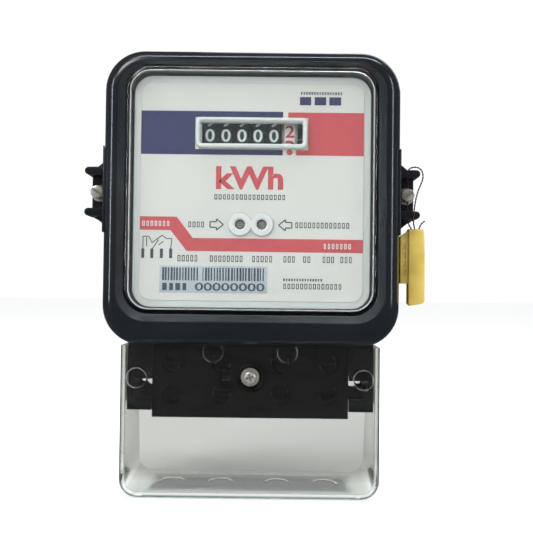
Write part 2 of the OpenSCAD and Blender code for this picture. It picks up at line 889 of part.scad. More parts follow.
module film_capacitor() {
    color("#c9b23a")
        board_box(-26, -12, 18, 8.5, 14);
}

module electrolytic_capacitor() {
    color("#2a3c66")
        translate([-2, pcb_y - 14, pcb_z + pcb_t])
            cylinder(r = 5, h = 12);
}

module varistor() {
    color("#2f5f9a")
        translate([-12, pcb_y - 27, pcb_z + pcb_t + 5.5])
            rotate([-90, 0, 0])
                cylinder(r = 5, h = 3.5);
}

// A box standing on the board: x, y from the board's centre, and its three sizes
module board_box(x, y, w, h, t) {
    block([x - w / 2, pcb_y + y - h / 2, pcb_z + pcb_t], [x + w / 2, pcb_y + y + h / 2, pcb_z + pcb_t + t]);
}

// Metering chip, optocoupler, crystal, rectifier and the row of resistors
module board_parts() {
    color("#202326") {
        board_box(22, -22, 10.4, 7.6, 2.3);
        board_box(34, -8, 6.6, 6.4, 3.6);
        board_box(12, -10, 11, 4.6, 3.6);
        board_box(-32, 16, 8, 6.4, 3);
        for (i = [0 : 4])
            translate([-33 + 2.8 * i, pcb_y - 30, pcb_z + pcb_t + 1.25])
                rotate([-90, 0, 0])
                    cylinder(r = 1.2, h = 6.5);
    }
}

// Lamp on long leads, standing up behind its hole in the dial plate
module board_led(side) {
    x = led_x + side * led_pitch / 2;
    lamp_z = dial_z - 6.5;
    translate([x, led_y, 0]) {
        color("#8f8a7c") {
            translate([0, 0, lamp_z])
                cylinder(r = 1.5, h = 4);
            translate([0, 0, lamp_z - 1])
                cylinder(r = 1.8, h = 1 + eps);
        }
        color("#c9ccd0")
            for (dx = [-1.27, 1.27])
                block([dx * 0.8 - 0.25, -0.25, pcb_z + pcb_t], [dx * 0.8 + 0.25, 0.25, lamp_z - 1 + eps]);
    }
}

// ---- terminal cover ----

module terminal_cover() {
    color("#dfe6e4", 0.3)
        difference() {
            union() {
                cover_shell();
                translate([0, cover_screw_y, bay_z + 0.4])
                    cylinder(r = boss_r, h = cover_z - bay_z - 1);
                sealing_eye();
            }
            translate([0, cover_screw_y, pocket_z])
                cylinder(r = pocket_r, h = 5);
            translate([0, cover_screw_y, bay_z - 1])
                cylinder(r = cover_shank_r + 0.25, h = cover_z);
            for (side = [-1, 1]) {
                ejector_mark(side * 43.3, cover_screw_y - 0.6);
                ejector_mark(side * 14.2, frame_bottom - 2.6);
            }
        }
}

module cover_outline(inset) {
    w = cover_w - 2 * inset;
    top = frame_bottom - gap;
    low = cover_bottom + inset;
    r = cover_r - inset;
    union() {
        translate([-w / 2, low + r])
            square([w, top - low - r + (inset > 0 ? 5 : 0)]);
        translate([-w / 2 + r, low])
            square([w - 2 * r, r + 1]);
        for (side = [-1, 1])
            translate([side * (w / 2 - r), low + r])
                circle(r);
    }
}

module cover_shell() {
    difference() {
        translate([0, 0, 1])
            linear_extrude(cover_z - 1)
                cover_outline(0);
        linear_extrude(cover_z - cover_wall)
            cover_outline(cover_wall);
    }
}

module sealing_eye() {
    translate([eye_x, cover_screw_y, 0])
        difference() {
            block([-1.5, -3.6, cover_z - 1], [1.5, 3.6, cover_z + 4]);
            along_x(-3, 0, cover_z + 1.9)
                cylinder(r = 0.9, h = 6, $fn = 32);
        }
}

module ejector_mark(x, y) {
    translate([x, y, cover_z - cover_wall - 1])
        cylinder(r = 3.9, h = 1.2);
}

module cover_washer() {
    color("#c9cac6")
        translate([0, cover_screw_y, pocket_z])
            tube(3.5, cover_shank_r + 0.15, 0.7);
}

module cover_screw() {
    head_z = pocket_z + 0.7;
    tip_z = bay_z - 7.5;
    color("#cfd0cc")
        translate([0, cover_screw_y, 0])
            difference() {
                union() {
                    translate([0, 0, tip_z])
                        cylinder(r = cover_shank_r, h = head_z - tip_z);
                    translate([0, 0, head_z])
                        cylinder(r = cover_head_r, h = 2.2);
                }
                cross_cut(1.5, head_z + 2.2, 0.7, 1.2);
            }
}

// ---- seal ----

// Frame of reference at route point i: its place and two directions square to the route
function unit(v) = v / norm(v);
function heading(p, i) = unit(p[min(i + 1, len(p) - 1)] - p[max(i - 1, 0)]);
function side_dir(t) = unit(cross(t, abs(t[2]) < 0.9 ? [0, 0, 1] : [1, 0, 0]));
function tube_points(p, r, n) = [
    for (i = [0 : len(p) - 1])
        let (t = heading(p, i), a = side_dir(t), b = cross(t, a))
            for (j = [0 : n - 1])
                p[i] + r * (cos(360 * j / n) * a + sin(360 * j / n) * b)
];
function tube_faces(rings, n) = concat(
    [[for (j = [0 : n - 1]) n - 1 - j]],
    [for (i = [0 : rings - 2]) for (j = [0 : n - 1])
        [i * n + j, i * n + (j + 1) % n, (i + 1) * n + (j + 1) % n, (i + 1) * n + j]],
    [[for (j = [0 : n - 1]) (rings - 1) * n + j]]
);
// Smooth curve through the route's points, with two steps to each
function spline(p, i, t) = let (
    a = p[max(i - 1, 0)], b = p[i], c = p[min(i + 1, len(p) - 1)], d = p[min(i + 2, len(p) - 1)])
    0.5 * (2 * b + (c - a) * t + (2 * a - 5 * b + 4 * c - d) * t * t + (3 * b - a - 3 * c + d) * t * t * t);
function smooth(p) = concat([for (i = [0 : len(p) - 2]) for (t = [0, 0.5]) spline(p, i, t)], [p[len(p) - 1]]);

module seal_wire() {
    route = smooth([for (p = wire_route) p + [ear_x, ear_y, seal_hole_z]]);
    color("#5a2018")
        polyhedron(points = tube_points(route, wire_d / 2, 8), faces = tube_faces(len(route), 8));
}

module seal_body() {
    x1 = seal_left + seal_w;
    low = seal_top - seal_len;
    color("#cdb24a")
        difference() {
            union() {
                translate([0, 0, seal_z])
                    linear_extrude(seal_t)
                        polygon([[seal_left, seal_top], [x1 - 0.6, seal_top], [x1, seal_top - 1], [x1, low + 1.6],
                                 [x1 - 1, low + 0.8], [seal_left + 0.8, low], [seal_left, low + 0.8]]);
                translate([0, 0, seal_z + 1])
                    linear_extrude(seal_t - 2)
                        polygon([[seal_left + 1, seal_top - 0.8], [seal_left, seal_top - 0.6],
                                 [seal_left - 3.2, seal_top - 2.8], [seal_left - 3.2, seal_top - 21],
                                 [seal_left + 1, seal_top - 21]]);
            }
            block([seal_left + 1, seal_top - 17, seal_z + 1], [x1 - 1, seal_top + 1, seal_z + seal_t - 1]);
        }
}

module seal_insert() {
    color("#b8942c")
        block([seal_left + 1.3, seal_top - 16.8, seal_z + 1.3],
              [seal_left + seal_w - 1.3, seal_top - 7, seal_z + seal_t - 1.3]);
}

stand() rear_base();
stand() wall_hook();
stand() hook_rivets();
stand() terminal_block();
stand() terminal(0);  // terminal_1
stand() terminal(1);  // terminal_2
stand() terminal(2);  // terminal_3
stand() terminal(3);  // terminal_4
stand() clamp_screw(0);  // clamp_screw_1
stand() clamp_screw(1);  // clamp_screw_2
stand() clamp_screw(2);  // clamp_screw_3
stand() clamp_screw(3);  // clamp_screw_4
stand() clamp_screw(4);  // clamp_screw_5
stand() clamp_screw(5);  // clamp_screw_6
stand() clamp_screw(6);  // clamp_screw_7
stand() clamp_screw(7);  // clamp_screw_8
stand() current_shunt();
stand() sense_leads();
stand() brass_inserts();
stand() front_frame();
stand() window();
stand() window_gasket();
stand() dial_plate();
stand() printed_label();
stand() barcode_label();
stand() register_frame();
stand() drum_shaft();
stand() pinion_shaft();
stand() drum(0);  // drum_1
stand() drum(1);  // drum_2
stand() drum(2);  // drum_3
stand() drum(3);  // drum_4
stand() drum(4);  // drum_5
stand() drum(5);  // drum_6
stand() transfer_pinion(0);  // transfer_pinion_1
stand() transfer_pinion(1);  // transfer_pinion_2
stand() transfer_pinion(2);  // transfer_pinion_3
stand() transfer_pinion(3);  // transfer_pinion_4
stand() transfer_pinion(4);  // transfer_pinion_5
stand() drive_gear();
stand() motor_rotor();
stand() motor_stator();
stand() motor_coil();
stand() circuit_board();
stand() board_screws();
stand() film_capacitor();
stand() electrolytic_capacitor();
stand() varistor();
stand() board_parts();
stand() board_led(1);  // pulse_led
stand() board_led(-1);  // reverse_led
stand() ear_washers();
stand() ear_screw(-1);  // ear_screw_left
stand() ear_screw(1);  // ear_screw_right
stand() terminal_cover();
stand() cover_screw();
stand() cover_washer();
stand() seal_wire();
stand() seal_body();
stand() seal_insert();
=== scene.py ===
import math

import bmesh
import bpy
from mathutils import Matrix, Vector


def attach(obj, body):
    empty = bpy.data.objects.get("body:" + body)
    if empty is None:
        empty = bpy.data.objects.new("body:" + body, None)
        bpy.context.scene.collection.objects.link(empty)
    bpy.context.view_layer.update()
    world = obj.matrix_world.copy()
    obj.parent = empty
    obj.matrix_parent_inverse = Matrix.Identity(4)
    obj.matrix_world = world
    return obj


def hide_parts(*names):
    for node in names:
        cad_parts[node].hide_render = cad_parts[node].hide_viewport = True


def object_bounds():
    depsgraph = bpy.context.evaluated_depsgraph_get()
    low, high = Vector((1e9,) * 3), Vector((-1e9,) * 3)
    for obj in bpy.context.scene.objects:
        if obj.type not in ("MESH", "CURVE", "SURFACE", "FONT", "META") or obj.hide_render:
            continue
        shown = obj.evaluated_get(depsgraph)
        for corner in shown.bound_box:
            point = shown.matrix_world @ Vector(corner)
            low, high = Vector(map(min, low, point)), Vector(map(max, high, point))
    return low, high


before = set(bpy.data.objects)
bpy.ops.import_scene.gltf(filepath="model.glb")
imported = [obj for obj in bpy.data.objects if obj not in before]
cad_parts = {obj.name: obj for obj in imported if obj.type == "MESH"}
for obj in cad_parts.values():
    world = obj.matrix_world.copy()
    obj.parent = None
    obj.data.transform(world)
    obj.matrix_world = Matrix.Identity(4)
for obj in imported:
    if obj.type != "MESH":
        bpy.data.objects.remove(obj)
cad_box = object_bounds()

# ---- Camera and stage ----
# The meter stands upright on a pale studio floor, seen from the front, a little from its right
# and from slightly below the window's middle. Sizes are written as a fitter reads them off the
# wall: x to the right, y up and z out of the wall, in millimetres.
MM = 0.001


def up(x, y, z):
    """A place on the wall drawing, in millimetres, as a point of the model."""
    return Vector((x * MM, -z * MM, y * MM))


def add(tree, kind, inputs=None, **settings):
    """Adds a node with its settings; an input is a plain value or the socket that feeds it."""
    node = tree.nodes.new(kind)
    for key, value in settings.items():
        setattr(node, key, value)
    for key, value in (inputs or {}).items():
        if isinstance(value, bpy.types.NodeSocket):
            tree.links.new(value, node.inputs[key])
        else:
            node.inputs[key].default_value = value
    return node


def paint(code, alpha=1.0):
    """An sRGB hex colour as the linear colour that a shader takes."""
    parts = [int(code[i:i + 2], 16) / 255 for i in (1, 3, 5)]
    return [c / 12.92 if c <= 0.04045 else ((c + 0.055) / 1.055) ** 2.4 for c in parts] + [alpha]


def placed(name, data):
    """An object that shows the given mesh, light, camera or curve in the scene."""
    obj = bpy.data.objects.new(name, data)
    bpy.context.scene.collection.objects.link(obj)
    return obj


def baked(obj):
    """The mesh that an object shows once its modifiers have worked on it."""
    return bpy.data.meshes.new_from_object(obj.evaluated_get(bpy.context.evaluated_depsgraph_get()))


def seen_in_gloss(tree):
    """The share of a ray that is a mirror image in a glossy skin: rays through clear parts don't count."""
    rays = add(tree, "ShaderNodeLightPath")
    outside = add(tree, "ShaderNodeMath", {0: rays.outputs["Transmission Depth"], 1: 0.5},
                  operation="LESS_THAN")
    both = add(tree, "ShaderNodeMath", {0: rays.outputs["Is Glossy Ray"], 1: outside.outputs[0]},
               operation="MULTIPLY")
    return both.outputs[0]


def fresh(name):
    """A new material with an empty node tree, and that tree."""
    made = bpy.data.materials.new(name)
    made.use_nodes = True
    made.node_tree.nodes.clear()
    return made, made.node_tree


IMAGE_PX = 533
SENSOR = 36.0
FOCAL_PX = 917.0
CAMERA_AT = (7.616, -4.66, 397.86)
TILT, PAN, ROLL = 0.0242, 0.0051, 0.0115

lens = bpy.data.cameras.new("studio_camera")
lens.sensor_width = SENSOR
lens.lens = SENSOR * FOCAL_PX / IMAGE_PX
lens.clip_start = 0.01
camera = placed("studio_camera", lens)
turned = Matrix.Rotation(TILT, 4, "X") @ Matrix.Rotation(PAN, 4, "Y") @ Matrix.Rotation(ROLL, 4, "Z")
camera.matrix_world = Matrix.Translation(up(*CAMERA_AT)) @ Matrix.Rotation(math.pi / 2, 4, "X") @ turned
bpy.context.scene.camera = camera
bpy.context.scene.view_settings.view_transform = "Standard"

floor_mesh = bpy.data.meshes.new("studio_floor")
floor_edge, floor_z = 6.0, cad_box[0][2] - 0.0004
floor_mesh.from_pydata([(-floor_edge, -floor_edge, floor_z), (floor_edge, -floor_edge, floor_z),
                        (floor_edge, floor_edge, floor_z), (-floor_edge, floor_edge, floor_z)], [],
                       [(0, 1, 2, 3)])
placed("studio_floor", floor_mesh)

# Painted floor: a pale matt paint with hardly any unevenness, dim where a glossy part mirrors it
floor_paint, tree = fresh("pale_matt_floor_paint")
where = add(tree, "ShaderNodeTexCoord")
cloudy = add(tree, "ShaderNodeTexNoise", {"Vector": where.outputs["Object"], "Scale": 3.0})
tint = add(tree, "ShaderNodeValToRGB", {"Fac": cloudy.outputs["Fac"]})
tint.color_ramp.elements[0].color = paint("#FAFAF9")
tint.color_ramp.elements[1].color = paint("#FDFDFC")
toned = add(tree, "ShaderNodeMix", {0: seen_in_gloss(tree), 6: tint.outputs["Color"], 7: paint("#3A3E42")},
            data_type="RGBA")
coat = add(tree, "ShaderNodeBsdfPrincipled", {"Base Color": toned.outputs[2], "Roughness": 0.85,
                                             "Specular IOR Level": 0.1})
add(tree, "ShaderNodeOutputMaterial", {"Surface": coat.outputs["BSDF"]})
floor_mesh.materials.append(floor_paint)

# A bright room: an even white all round, which glossy parts mirror only dimly, so that black stays black
room = bpy.data.worlds.new("studio_room")
room.use_nodes = True
bpy.context.scene.world = room
tree = room.node_tree
tree.nodes.clear()
level = add(tree, "ShaderNodeMapRange", {"Value": seen_in_gloss(tree), "To Min": 1.05, "To Max": 0.1})
glow = add(tree, "ShaderNodeBackground", {"Color": paint("#FDFEFF"), "Strength": level.outputs[0]})
add(tree, "ShaderNodeOutputWorld", {"Surface": glow.outputs[0]})


def softbox(name, at, target, size, power, tone="#FFFFFF"):
    """A rectangular studio light at one place, facing another."""
    light = bpy.data.lights.new(name, "AREA")
    light.shape = "RECTANGLE"
    light.size, light.size_y = size
    light.energy = power
    light.color = paint(tone)[:3]
    holder = placed(name, light)
    holder.location = at
    holder.rotation_euler = (Vector(target) - Vector(at)).to_track_quat("-Z", "Y").to_euler()


softbox("key_softbox", (-0.55, -0.75, 0.75), (0, 0, 0), (0.5, 0.35), 5.0)
softbox("fill_softbox", (0.8, -0.45, 0.15), (0, 0, 0), (0.06, 0.8), 2.6, "#EAF2FF")
softbox("top_strip", (0.05, -0.2, 0.75), (0, -0.03, 0.05), (0.9, 0.06), 3.2, "#EAF2FF")
softbox("left_strip", (-0.75, -0.35, 0.05), (0, -0.03, 0), (0.06, 0.8), 3.0, "#E4EEFF")
softbox("back_softbox", (0.3, 0.9, 0.6), (0, 0, 0), (0.8, 0.6), 2.0)

# ---- Sealing wire ----
# Two thin strands of red-brown lacquered copper, twisted together by hand. It runs up through the
# right ear's lugs and the screw between them, over the upper lug, and back into the seal.
EAR = (60.2, 32.15, 42.4)
STRAND_D = 0.34
TWIST_MM = 2.6
WIRE_D = 0.65
# The wire's lie from the first end in the seal to its tail, as places beside the screw's hole
WIRE_LIE = [(2.9, -17.5, 1.1), (2.9, -15.3, 1.1), (2.6, -13.1, 1.5), (2, -11.2, 3), (1.7, -9.5, 4.5),
            (1.8, -7.2, 5), (2.1, -4.4, 5), (2.6, -1.6, 4.8), (3.4, 1.2, 4.4), (4.4, 3.6, 3.8),
            (5.3, 5.8, 3.2), (5.5, 8, 2.6), (4.9, 9.8, 1.9), (3.4, 10.8, 1.2), (1.7, 10.8, 0.6),
            (0.5, 10.1, 0.2), (0, 8.4, 0), (0, 5, 0), (0, 2, 0), (0, -2, 0), (0, -5, 0), (0, -8.4, 0),
            (0.2, -10, 0), (0.8, -11.6, -0.2), (1.7, -13.2, -0.4), (2, -15.4, -0.5), (2, -17.6, -0.5),
            (2.5, -19.2, -0.5), (3.5, -19.4, -0.5), (4.2, -17.9, -0.4), (4.4, -15.6, -0.2),
            (4.5, -13.2, 0.2), (5.1, -11.4, 1), (6.4, -10, 1.8)]


def smooth_run(points, steps):
    """Points along the smooth curve that passes through the given ones."""
    points = [Vector(p) for p in points]
    run = []
    for i in range(len(points) - 1):
        a, b = points[max(i - 1, 0)], points[i]
        c, d = points[i + 1], points[min(i + 2, len(points) - 1)]
        for k in range(steps):
            t = k / steps
            run.append(0.5 * (2 * b + (c - a) * t + (2 * a - 5 * b + 4 * c - d) * t ** 2
                              + (3 * b - a - 3 * c + d) * t ** 3))
    return run + [points[-1]]


def steady_frames(run):
    """Two directions square to each step of a run, turned as little as possible along it."""
    ahead = [(run[min(i + 1, len(run) - 1)] - run[max(i - 1, 0)]).normalized() for i in range(len(run))]
    side = ahead[0].orthogonal().normalized()
    frames = []
    for t in ahead:
        side = (side - t * side.dot(t)).normalized()
        frames.append((side, t.cross(side)))
    return frames


def tube(run, radius, sides, closed_ends=True):
    """Vertices and faces of a round tube along a run of points."""
    points, faces = [], []
    for p, (a, b) in zip(run, steady_frames(run)):
        for j in range(sides):
            turn = 2 * math.pi * j / sides
            points.append(p + radius * (math.cos(turn) * a + math.sin(turn) * b))
    for i in range(len(run) - 1):
        for j in range(sides):
            k = (j + 1) % sides
            faces.append((i * sides + j, i * sides + k, (i + 1) * sides + k, (i + 1) * sides + j))
    if closed_ends:
        last = (len(run) - 1) * sides
        faces.append(tuple(range(sides - 1, -1, -1)))
        faces.append(tuple(range(last, last + sides)))
    return points, faces


def shape(name, points, faces):
    """A mesh object from drawing points, its faces turned outwards."""
    mesh = bpy.data.meshes.new(name)
    mesh.from_pydata([up(*p) for p in points], [], faces)
    made = bmesh.new()
    made.from_mesh(mesh)
    bmesh.ops.recalc_face_normals(made, faces=made.faces)
    made.to_mesh(mesh)
    made.free()
    return placed(name, mesh)


def settle(obj, material, body, stands_for=(), corner=32):
    """Gives a finished mesh its shading and material, ties it to its body, and hides the CAD parts it stands
    for.
    """
    obj.data.shade_smooth()
    obj.data.set_sharp_from_angle(angle=math.radians(corner))
    obj.data.materials.clear()
    obj.data.materials.append(material)
    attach(obj, body)
    if stands_for:
        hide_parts(*stands_for)
    return obj


wire_run = smooth_run([Vector(p) + Vector(EAR) for p in WIRE_LIE], 8)
wire_points, wire_faces, travelled = [], [], 0.0
strand_runs = [[], []]
for i, (p, (a, b)) in enumerate(zip(wire_run, steady_frames(wire_run))):
    if i:
        travelled += (p - wire_run[i - 1]).length
    turn = 2 * math.pi * travelled / TWIST_MM
    off = (math.cos(turn) * a + math.sin(turn) * b) * (WIRE_D - STRAND_D) / 2
    strand_runs[0].append(p + off)
    strand_runs[1].append(p - off)
for run in strand_runs:
    points, faces = tube(run, STRAND_D / 2, 8)
    first = len(wire_points)
    wire_points += points
    wire_faces += [tuple(first + v for v in f) for f in faces]
seal_wire = shape("seal_wire_strands", wire_points, wire_faces)

# Lacquered copper: the lacquer is a dull red-brown that darkens in the twist and shines a little
wire_lacquer, tree = fresh("red_brown_lacquered_copper")
where = add(tree, "ShaderNodeTexCoord")
patches = add(tree, "ShaderNodeTexNoise", {"Vector": where.outputs["Object"], "Scale": 900.0,
                                           "Detail": 4.0})
tint = add(tree, "ShaderNodeValToRGB", {"Fac": patches.outputs["Fac"]})
tint.color_ramp.elements[0].position = 0.35
tint.color_ramp.elements[0].color = paint("#34120E")
tint.color_ramp.elements[1].position = 0.68
tint.color_ramp.elements[1].color = paint("#7A3022")
coat = add(tree, "ShaderNodeBsdfPrincipled", {"Base Color": tint.outputs["Color"], "Metallic": 0.25,
                                             "Roughness": 0.42, "Coat Weight": 0.2})
add(tree, "ShaderNodeOutputMaterial", {"Surface": coat.outputs["BSDF"]})
settle(seal_wire, wire_lacquer, "front_cover", ["seal_wire"], 60)

# ---- Seal ----
# The seal that the wire's ends run into: a flat amber box of clear-tinted polystyrene with a thin
# flange on its inner side and a slanted foot. Its insert turns once and locks the wire inside.
SEAL_LEFT, SEAL_TOP, SEAL_W, SEAL_LEN = 60.4, 18.9, 6.3, 29.5
SEAL_BACK, SEAL_T = 39.4, 6.0


def prism(name, outline, back, front, edge=0.3, steps=3):
    """A solid with the given outline between two heights above the wall, its front and back edges
    rounded by the given radius."""
    outline = [Vector((x, y)) for x, y in outline]
    area = sum(a.x * b.y - b.x * a.y for a, b in zip(outline, outline[1:] + outline[:1]))
    if area < 0:
        outline.reverse()
    count = len(outline)
    mitres = []
    for i in range(count):
        before = (outline[i] - outline[i - 1]).normalized()
        after = (outline[(i + 1) % count] - outline[i]).normalized()
        inward = Vector((-before.y - after.y, before.x + after.x))
        scale = 1 + before.dot(after)
        mitres.append(inward / max(scale, 0.3))
    rings = []
    for k in range(steps + 1):
        t = math.pi / 2 * k / steps
        rings.append((edge * (1 - math.sin(t)), back + edge * (1 - math.cos(t))))
    rings += [(inset, back + front - z) for inset, z in reversed(rings)]
    points = [(*(p + m * inset), z) for inset, z in rings for p, m in zip(outline, mitres)]
    faces = [tuple(range(count)), tuple(range(len(points) - count, len(points)))]
    for r in range(len(rings) - 1):
        for j in range(count):
            k = (j + 1) % count
            faces.append((r * count + j, r * count + k, (r + 1) * count + k, (r + 1) * count + j))
    return shape(name, points, faces)


def carve(target, tool, how="DIFFERENCE"):
    """Cuts one mesh with another, or joins them into one skin, and removes the tool."""
    work = target.modifiers.new("carve", "BOOLEAN")
    work.object, work.operation, work.solver = tool, how, "EXACT"
    bpy.context.view_layer.update()
    result = baked(target)
    target.modifiers.clear()
    old, target.data = target.data, result
    bpy.data.meshes.remove(old)
    bpy.data.objects.remove(tool)
    return target


seal_right, seal_low = SEAL_LEFT + SEAL_W, SEAL_TOP - SEAL_LEN
thick = prism("seal_box", [(SEAL_LEFT, SEAL_TOP), (seal_right - 0.6, SEAL_TOP),
                           (seal_right - 0.2, SEAL_TOP - 2.5), (seal_right, SEAL_TOP - 12),
                           (seal_right, seal_low + 1.6), (seal_right - 1, seal_low + 0.8),
                           (SEAL_LEFT + 0.8, seal_low), (SEAL_LEFT, seal_low + 0.8)], SEAL_BACK,
              SEAL_BACK + SEAL_T, 0.45)
thin = prism("seal_flange", [(SEAL_LEFT + 1, SEAL_TOP - 0.8), (SEAL_LEFT, SEAL_TOP - 0.6),
                             (SEAL_LEFT - 3.1, SEAL_TOP - 2.8), (SEAL_LEFT - 3.1, SEAL_TOP - 21),
                             (SEAL_LEFT + 1, SEAL_TOP - 21)], SEAL_BACK + 1, SEAL_BACK + SEAL_T - 1, 0.3)
seal_body = carve(thick, thin, "UNION")
hollow = prism("seal_hollow", [(SEAL_LEFT + 1, SEAL_TOP - 17), (seal_right - 1, SEAL_TOP - 17),
                               (seal_right - 1, SEAL_TOP + 1), (SEAL_LEFT + 1, SEAL_TOP + 1)],
               SEAL_BACK + 1, SEAL_BACK + SEAL_T - 1, 0.1)
seal_body = carve(seal_body, hollow)
# Shallow sunk grip marks on the flange, moulded one above the other
for k in range(4):
    grip = prism("grip", [(SEAL_LEFT - 2.6, SEAL_TOP - 6 - 3.4 * k),
                          (SEAL_LEFT - 0.9, SEAL_TOP - 5.4 - 3.4 * k),
                          (SEAL_LEFT - 0.9, SEAL_TOP - 7.6 - 3.4 * k),
                          (SEAL_LEFT - 2.6, SEAL_TOP - 8.2 - 3.4 * k)], SEAL_BACK + SEAL_T - 1.35,
                 SEAL_BACK + SEAL_T, 0.1)
    seal_body = carve(seal_body, grip)
seal_insert = prism("seal_insert_rotor", [(SEAL_LEFT + 1.3, SEAL_TOP - 16.8),
                                          (seal_right - 1.3, SEAL_TOP - 16.8),
                                          (seal_right - 1.3, SEAL_TOP - 7),
                                          (SEAL_LEFT + 1.3, SEAL_TOP - 7)], SEAL_BACK + 1.3,
                    SEAL_BACK + SEAL_T - 1.3, 0.3)

# Amber polystyrene: tinted through, slightly cloudy from the mould, with a soft satin skin
amber, tree = fresh("amber_moulded_polystyrene")
where = add(tree, "ShaderNodeTexCoord")
flow = add(tree, "ShaderNodeTexNoise", {"Vector": where.outputs["Object"], "Scale": 110.0, "Detail": 1.0})
tint = add(tree, "ShaderNodeValToRGB", {"Fac": flow.outputs["Fac"]})
tint.color_ramp.elements[0].position = 0.3
tint.color_ramp.elements[0].color = paint("#B5993E")
tint.color_ramp.elements[1].position = 0.7
tint.color_ramp.elements[1].color = paint("#CDB65C")
skin = add(tree, "ShaderNodeTexNoise", {"Vector": where.outputs["Object"], "Scale": 1400.0, "Detail": 2.0})
ripple = add(tree, "ShaderNodeBump", {"Height": skin.outputs["Fac"], "Strength": 0.12, "Distance": 0.0002})
coat = add(tree, "ShaderNodeBsdfPrincipled", {"Base Color": tint.outputs["Color"], "Roughness": 0.34,
                                              "IOR": 1.59, "Subsurface Weight": 0.45,
                                              "Subsurface Scale": 0.002,
                                              "Subsurface Radius": (1.0, 0.7, 0.25),
                                              "Normal": ripple.outputs[0]})
add(tree, "ShaderNodeOutputMaterial", {"Surface": coat.outputs["BSDF"]})
settle(seal_body, amber, "front_cover", ["seal_body"])
settle(seal_insert, amber, "front_cover", ["seal_insert"])

# ---- Front frame ----
# The black front half of the housing: one glossy injection moulding in polycarbonate. A raised
# ridge runs round the window, the chin below it is broad and domed, and an ear with two drilled
# lugs stands out at each side for the sealing screw.
FRAME_HALF, FRAME_TOP, FRAME_LOW = 56.0, 85.0, -26.5
FRAME_BACK, SHOULDER_Z, RIDGE_Z, PLATE_BACK = 30.3, 49.5, 59.0, 46.0


def rounded(left, right, low, high, radius, z, steps=12):
    """One ring of a loft: a rectangle with round corners, at one height above the wall."""
    corners = [(right - radius, low + radius, -90), (right - radius, high - radius, 0),
               (left + radius, high - radius, 90), (left + radius, low + radius, 180)]
    ring = []
    for cx, cy, start in corners:
        for k in range(steps + 1):
            turn = math.radians(start + 90 * k / steps)
            ring.append((cx + radius * math.cos(turn), cy + radius * math.sin(turn), z))
    return ring


def loft(name, rings, looped=False):
    """A skin through rings of equal count, closed by its end faces or by returning to its start."""
    count = len(rings[0])
    points = [p for ring in rings for p in ring]
    faces = []
    for r in range(len(rings) if looped else len(rings) - 1):
        a, b = r * count, (r + 1) % len(rings) * count
        for j in range(count):
            k = (j + 1) % count
            faces.append((a + j, a + k, b + k, b + j))
    if not looped:
        faces.append(tuple(range(count)))
        faces.append(tuple(range(len(points) - count, len(points))))
    return shape(name, points, faces)


def frame_ring(side, top, low, z, radius, steps=14):
    return rounded(-FRAME_HALF + side, FRAME_HALF - side, FRAME_LOW + low, FRAME_TOP - top,
                   radius, z, steps)


rings = [frame_ring(0.25, 0.25, 0.25, FRAME_BACK, 14.7), frame_ring(0, 0, 0, FRAME_BACK + 0.3, 15)]
rings.append(frame_ring(0, 0, 0, SHOULDER_Z - 0.6, 15))
SWEEPS = 14
for k in range(SWEEPS + 1):
    t = math.pi / 2 * k / SWEEPS
    rise, reach = math.sin(t), 1 - math.cos(t)
    rings.append(frame_ring(5.3 * reach, 4.9 * reach, 8.0 * reach,
                            SHOULDER_Z + (RIDGE_Z - 0.25 - SHOULDER_Z) * rise, 15 - 3.2 * reach))
# A fine raised bead along the ridge, then the slope down to the window
rings += [frame_ring(5.5, 5.1, 8.4, RIDGE_Z, 11.6), frame_ring(6.0, 5.4, 9.3, RIDGE_Z, 11.2),
          frame_ring(6.4, 5.6, 9.8, RIDGE_Z - 0.5, 10.9), frame_ring(8.0, 6.3, 11.2, RIDGE_Z - 2.5, 10.1),
          frame_ring(8.45, 6.6, 11.6, RIDGE_Z - 2.9, 9.8), frame_ring(8.6, 6.8, 11.8, RIDGE_Z - 3.4, 9.7),
          frame_ring(8.6, 6.8, 11.8, PLATE_BACK, 9.7)]
rings += [frame_ring(2.2, 2.2, 2.2, PLATE_BACK, 12.8), frame_ring(2.2, 2.2, 2.2, FRAME_BACK, 12.8)]
front_frame = loft("front_frame_moulding", rings, looped=True)

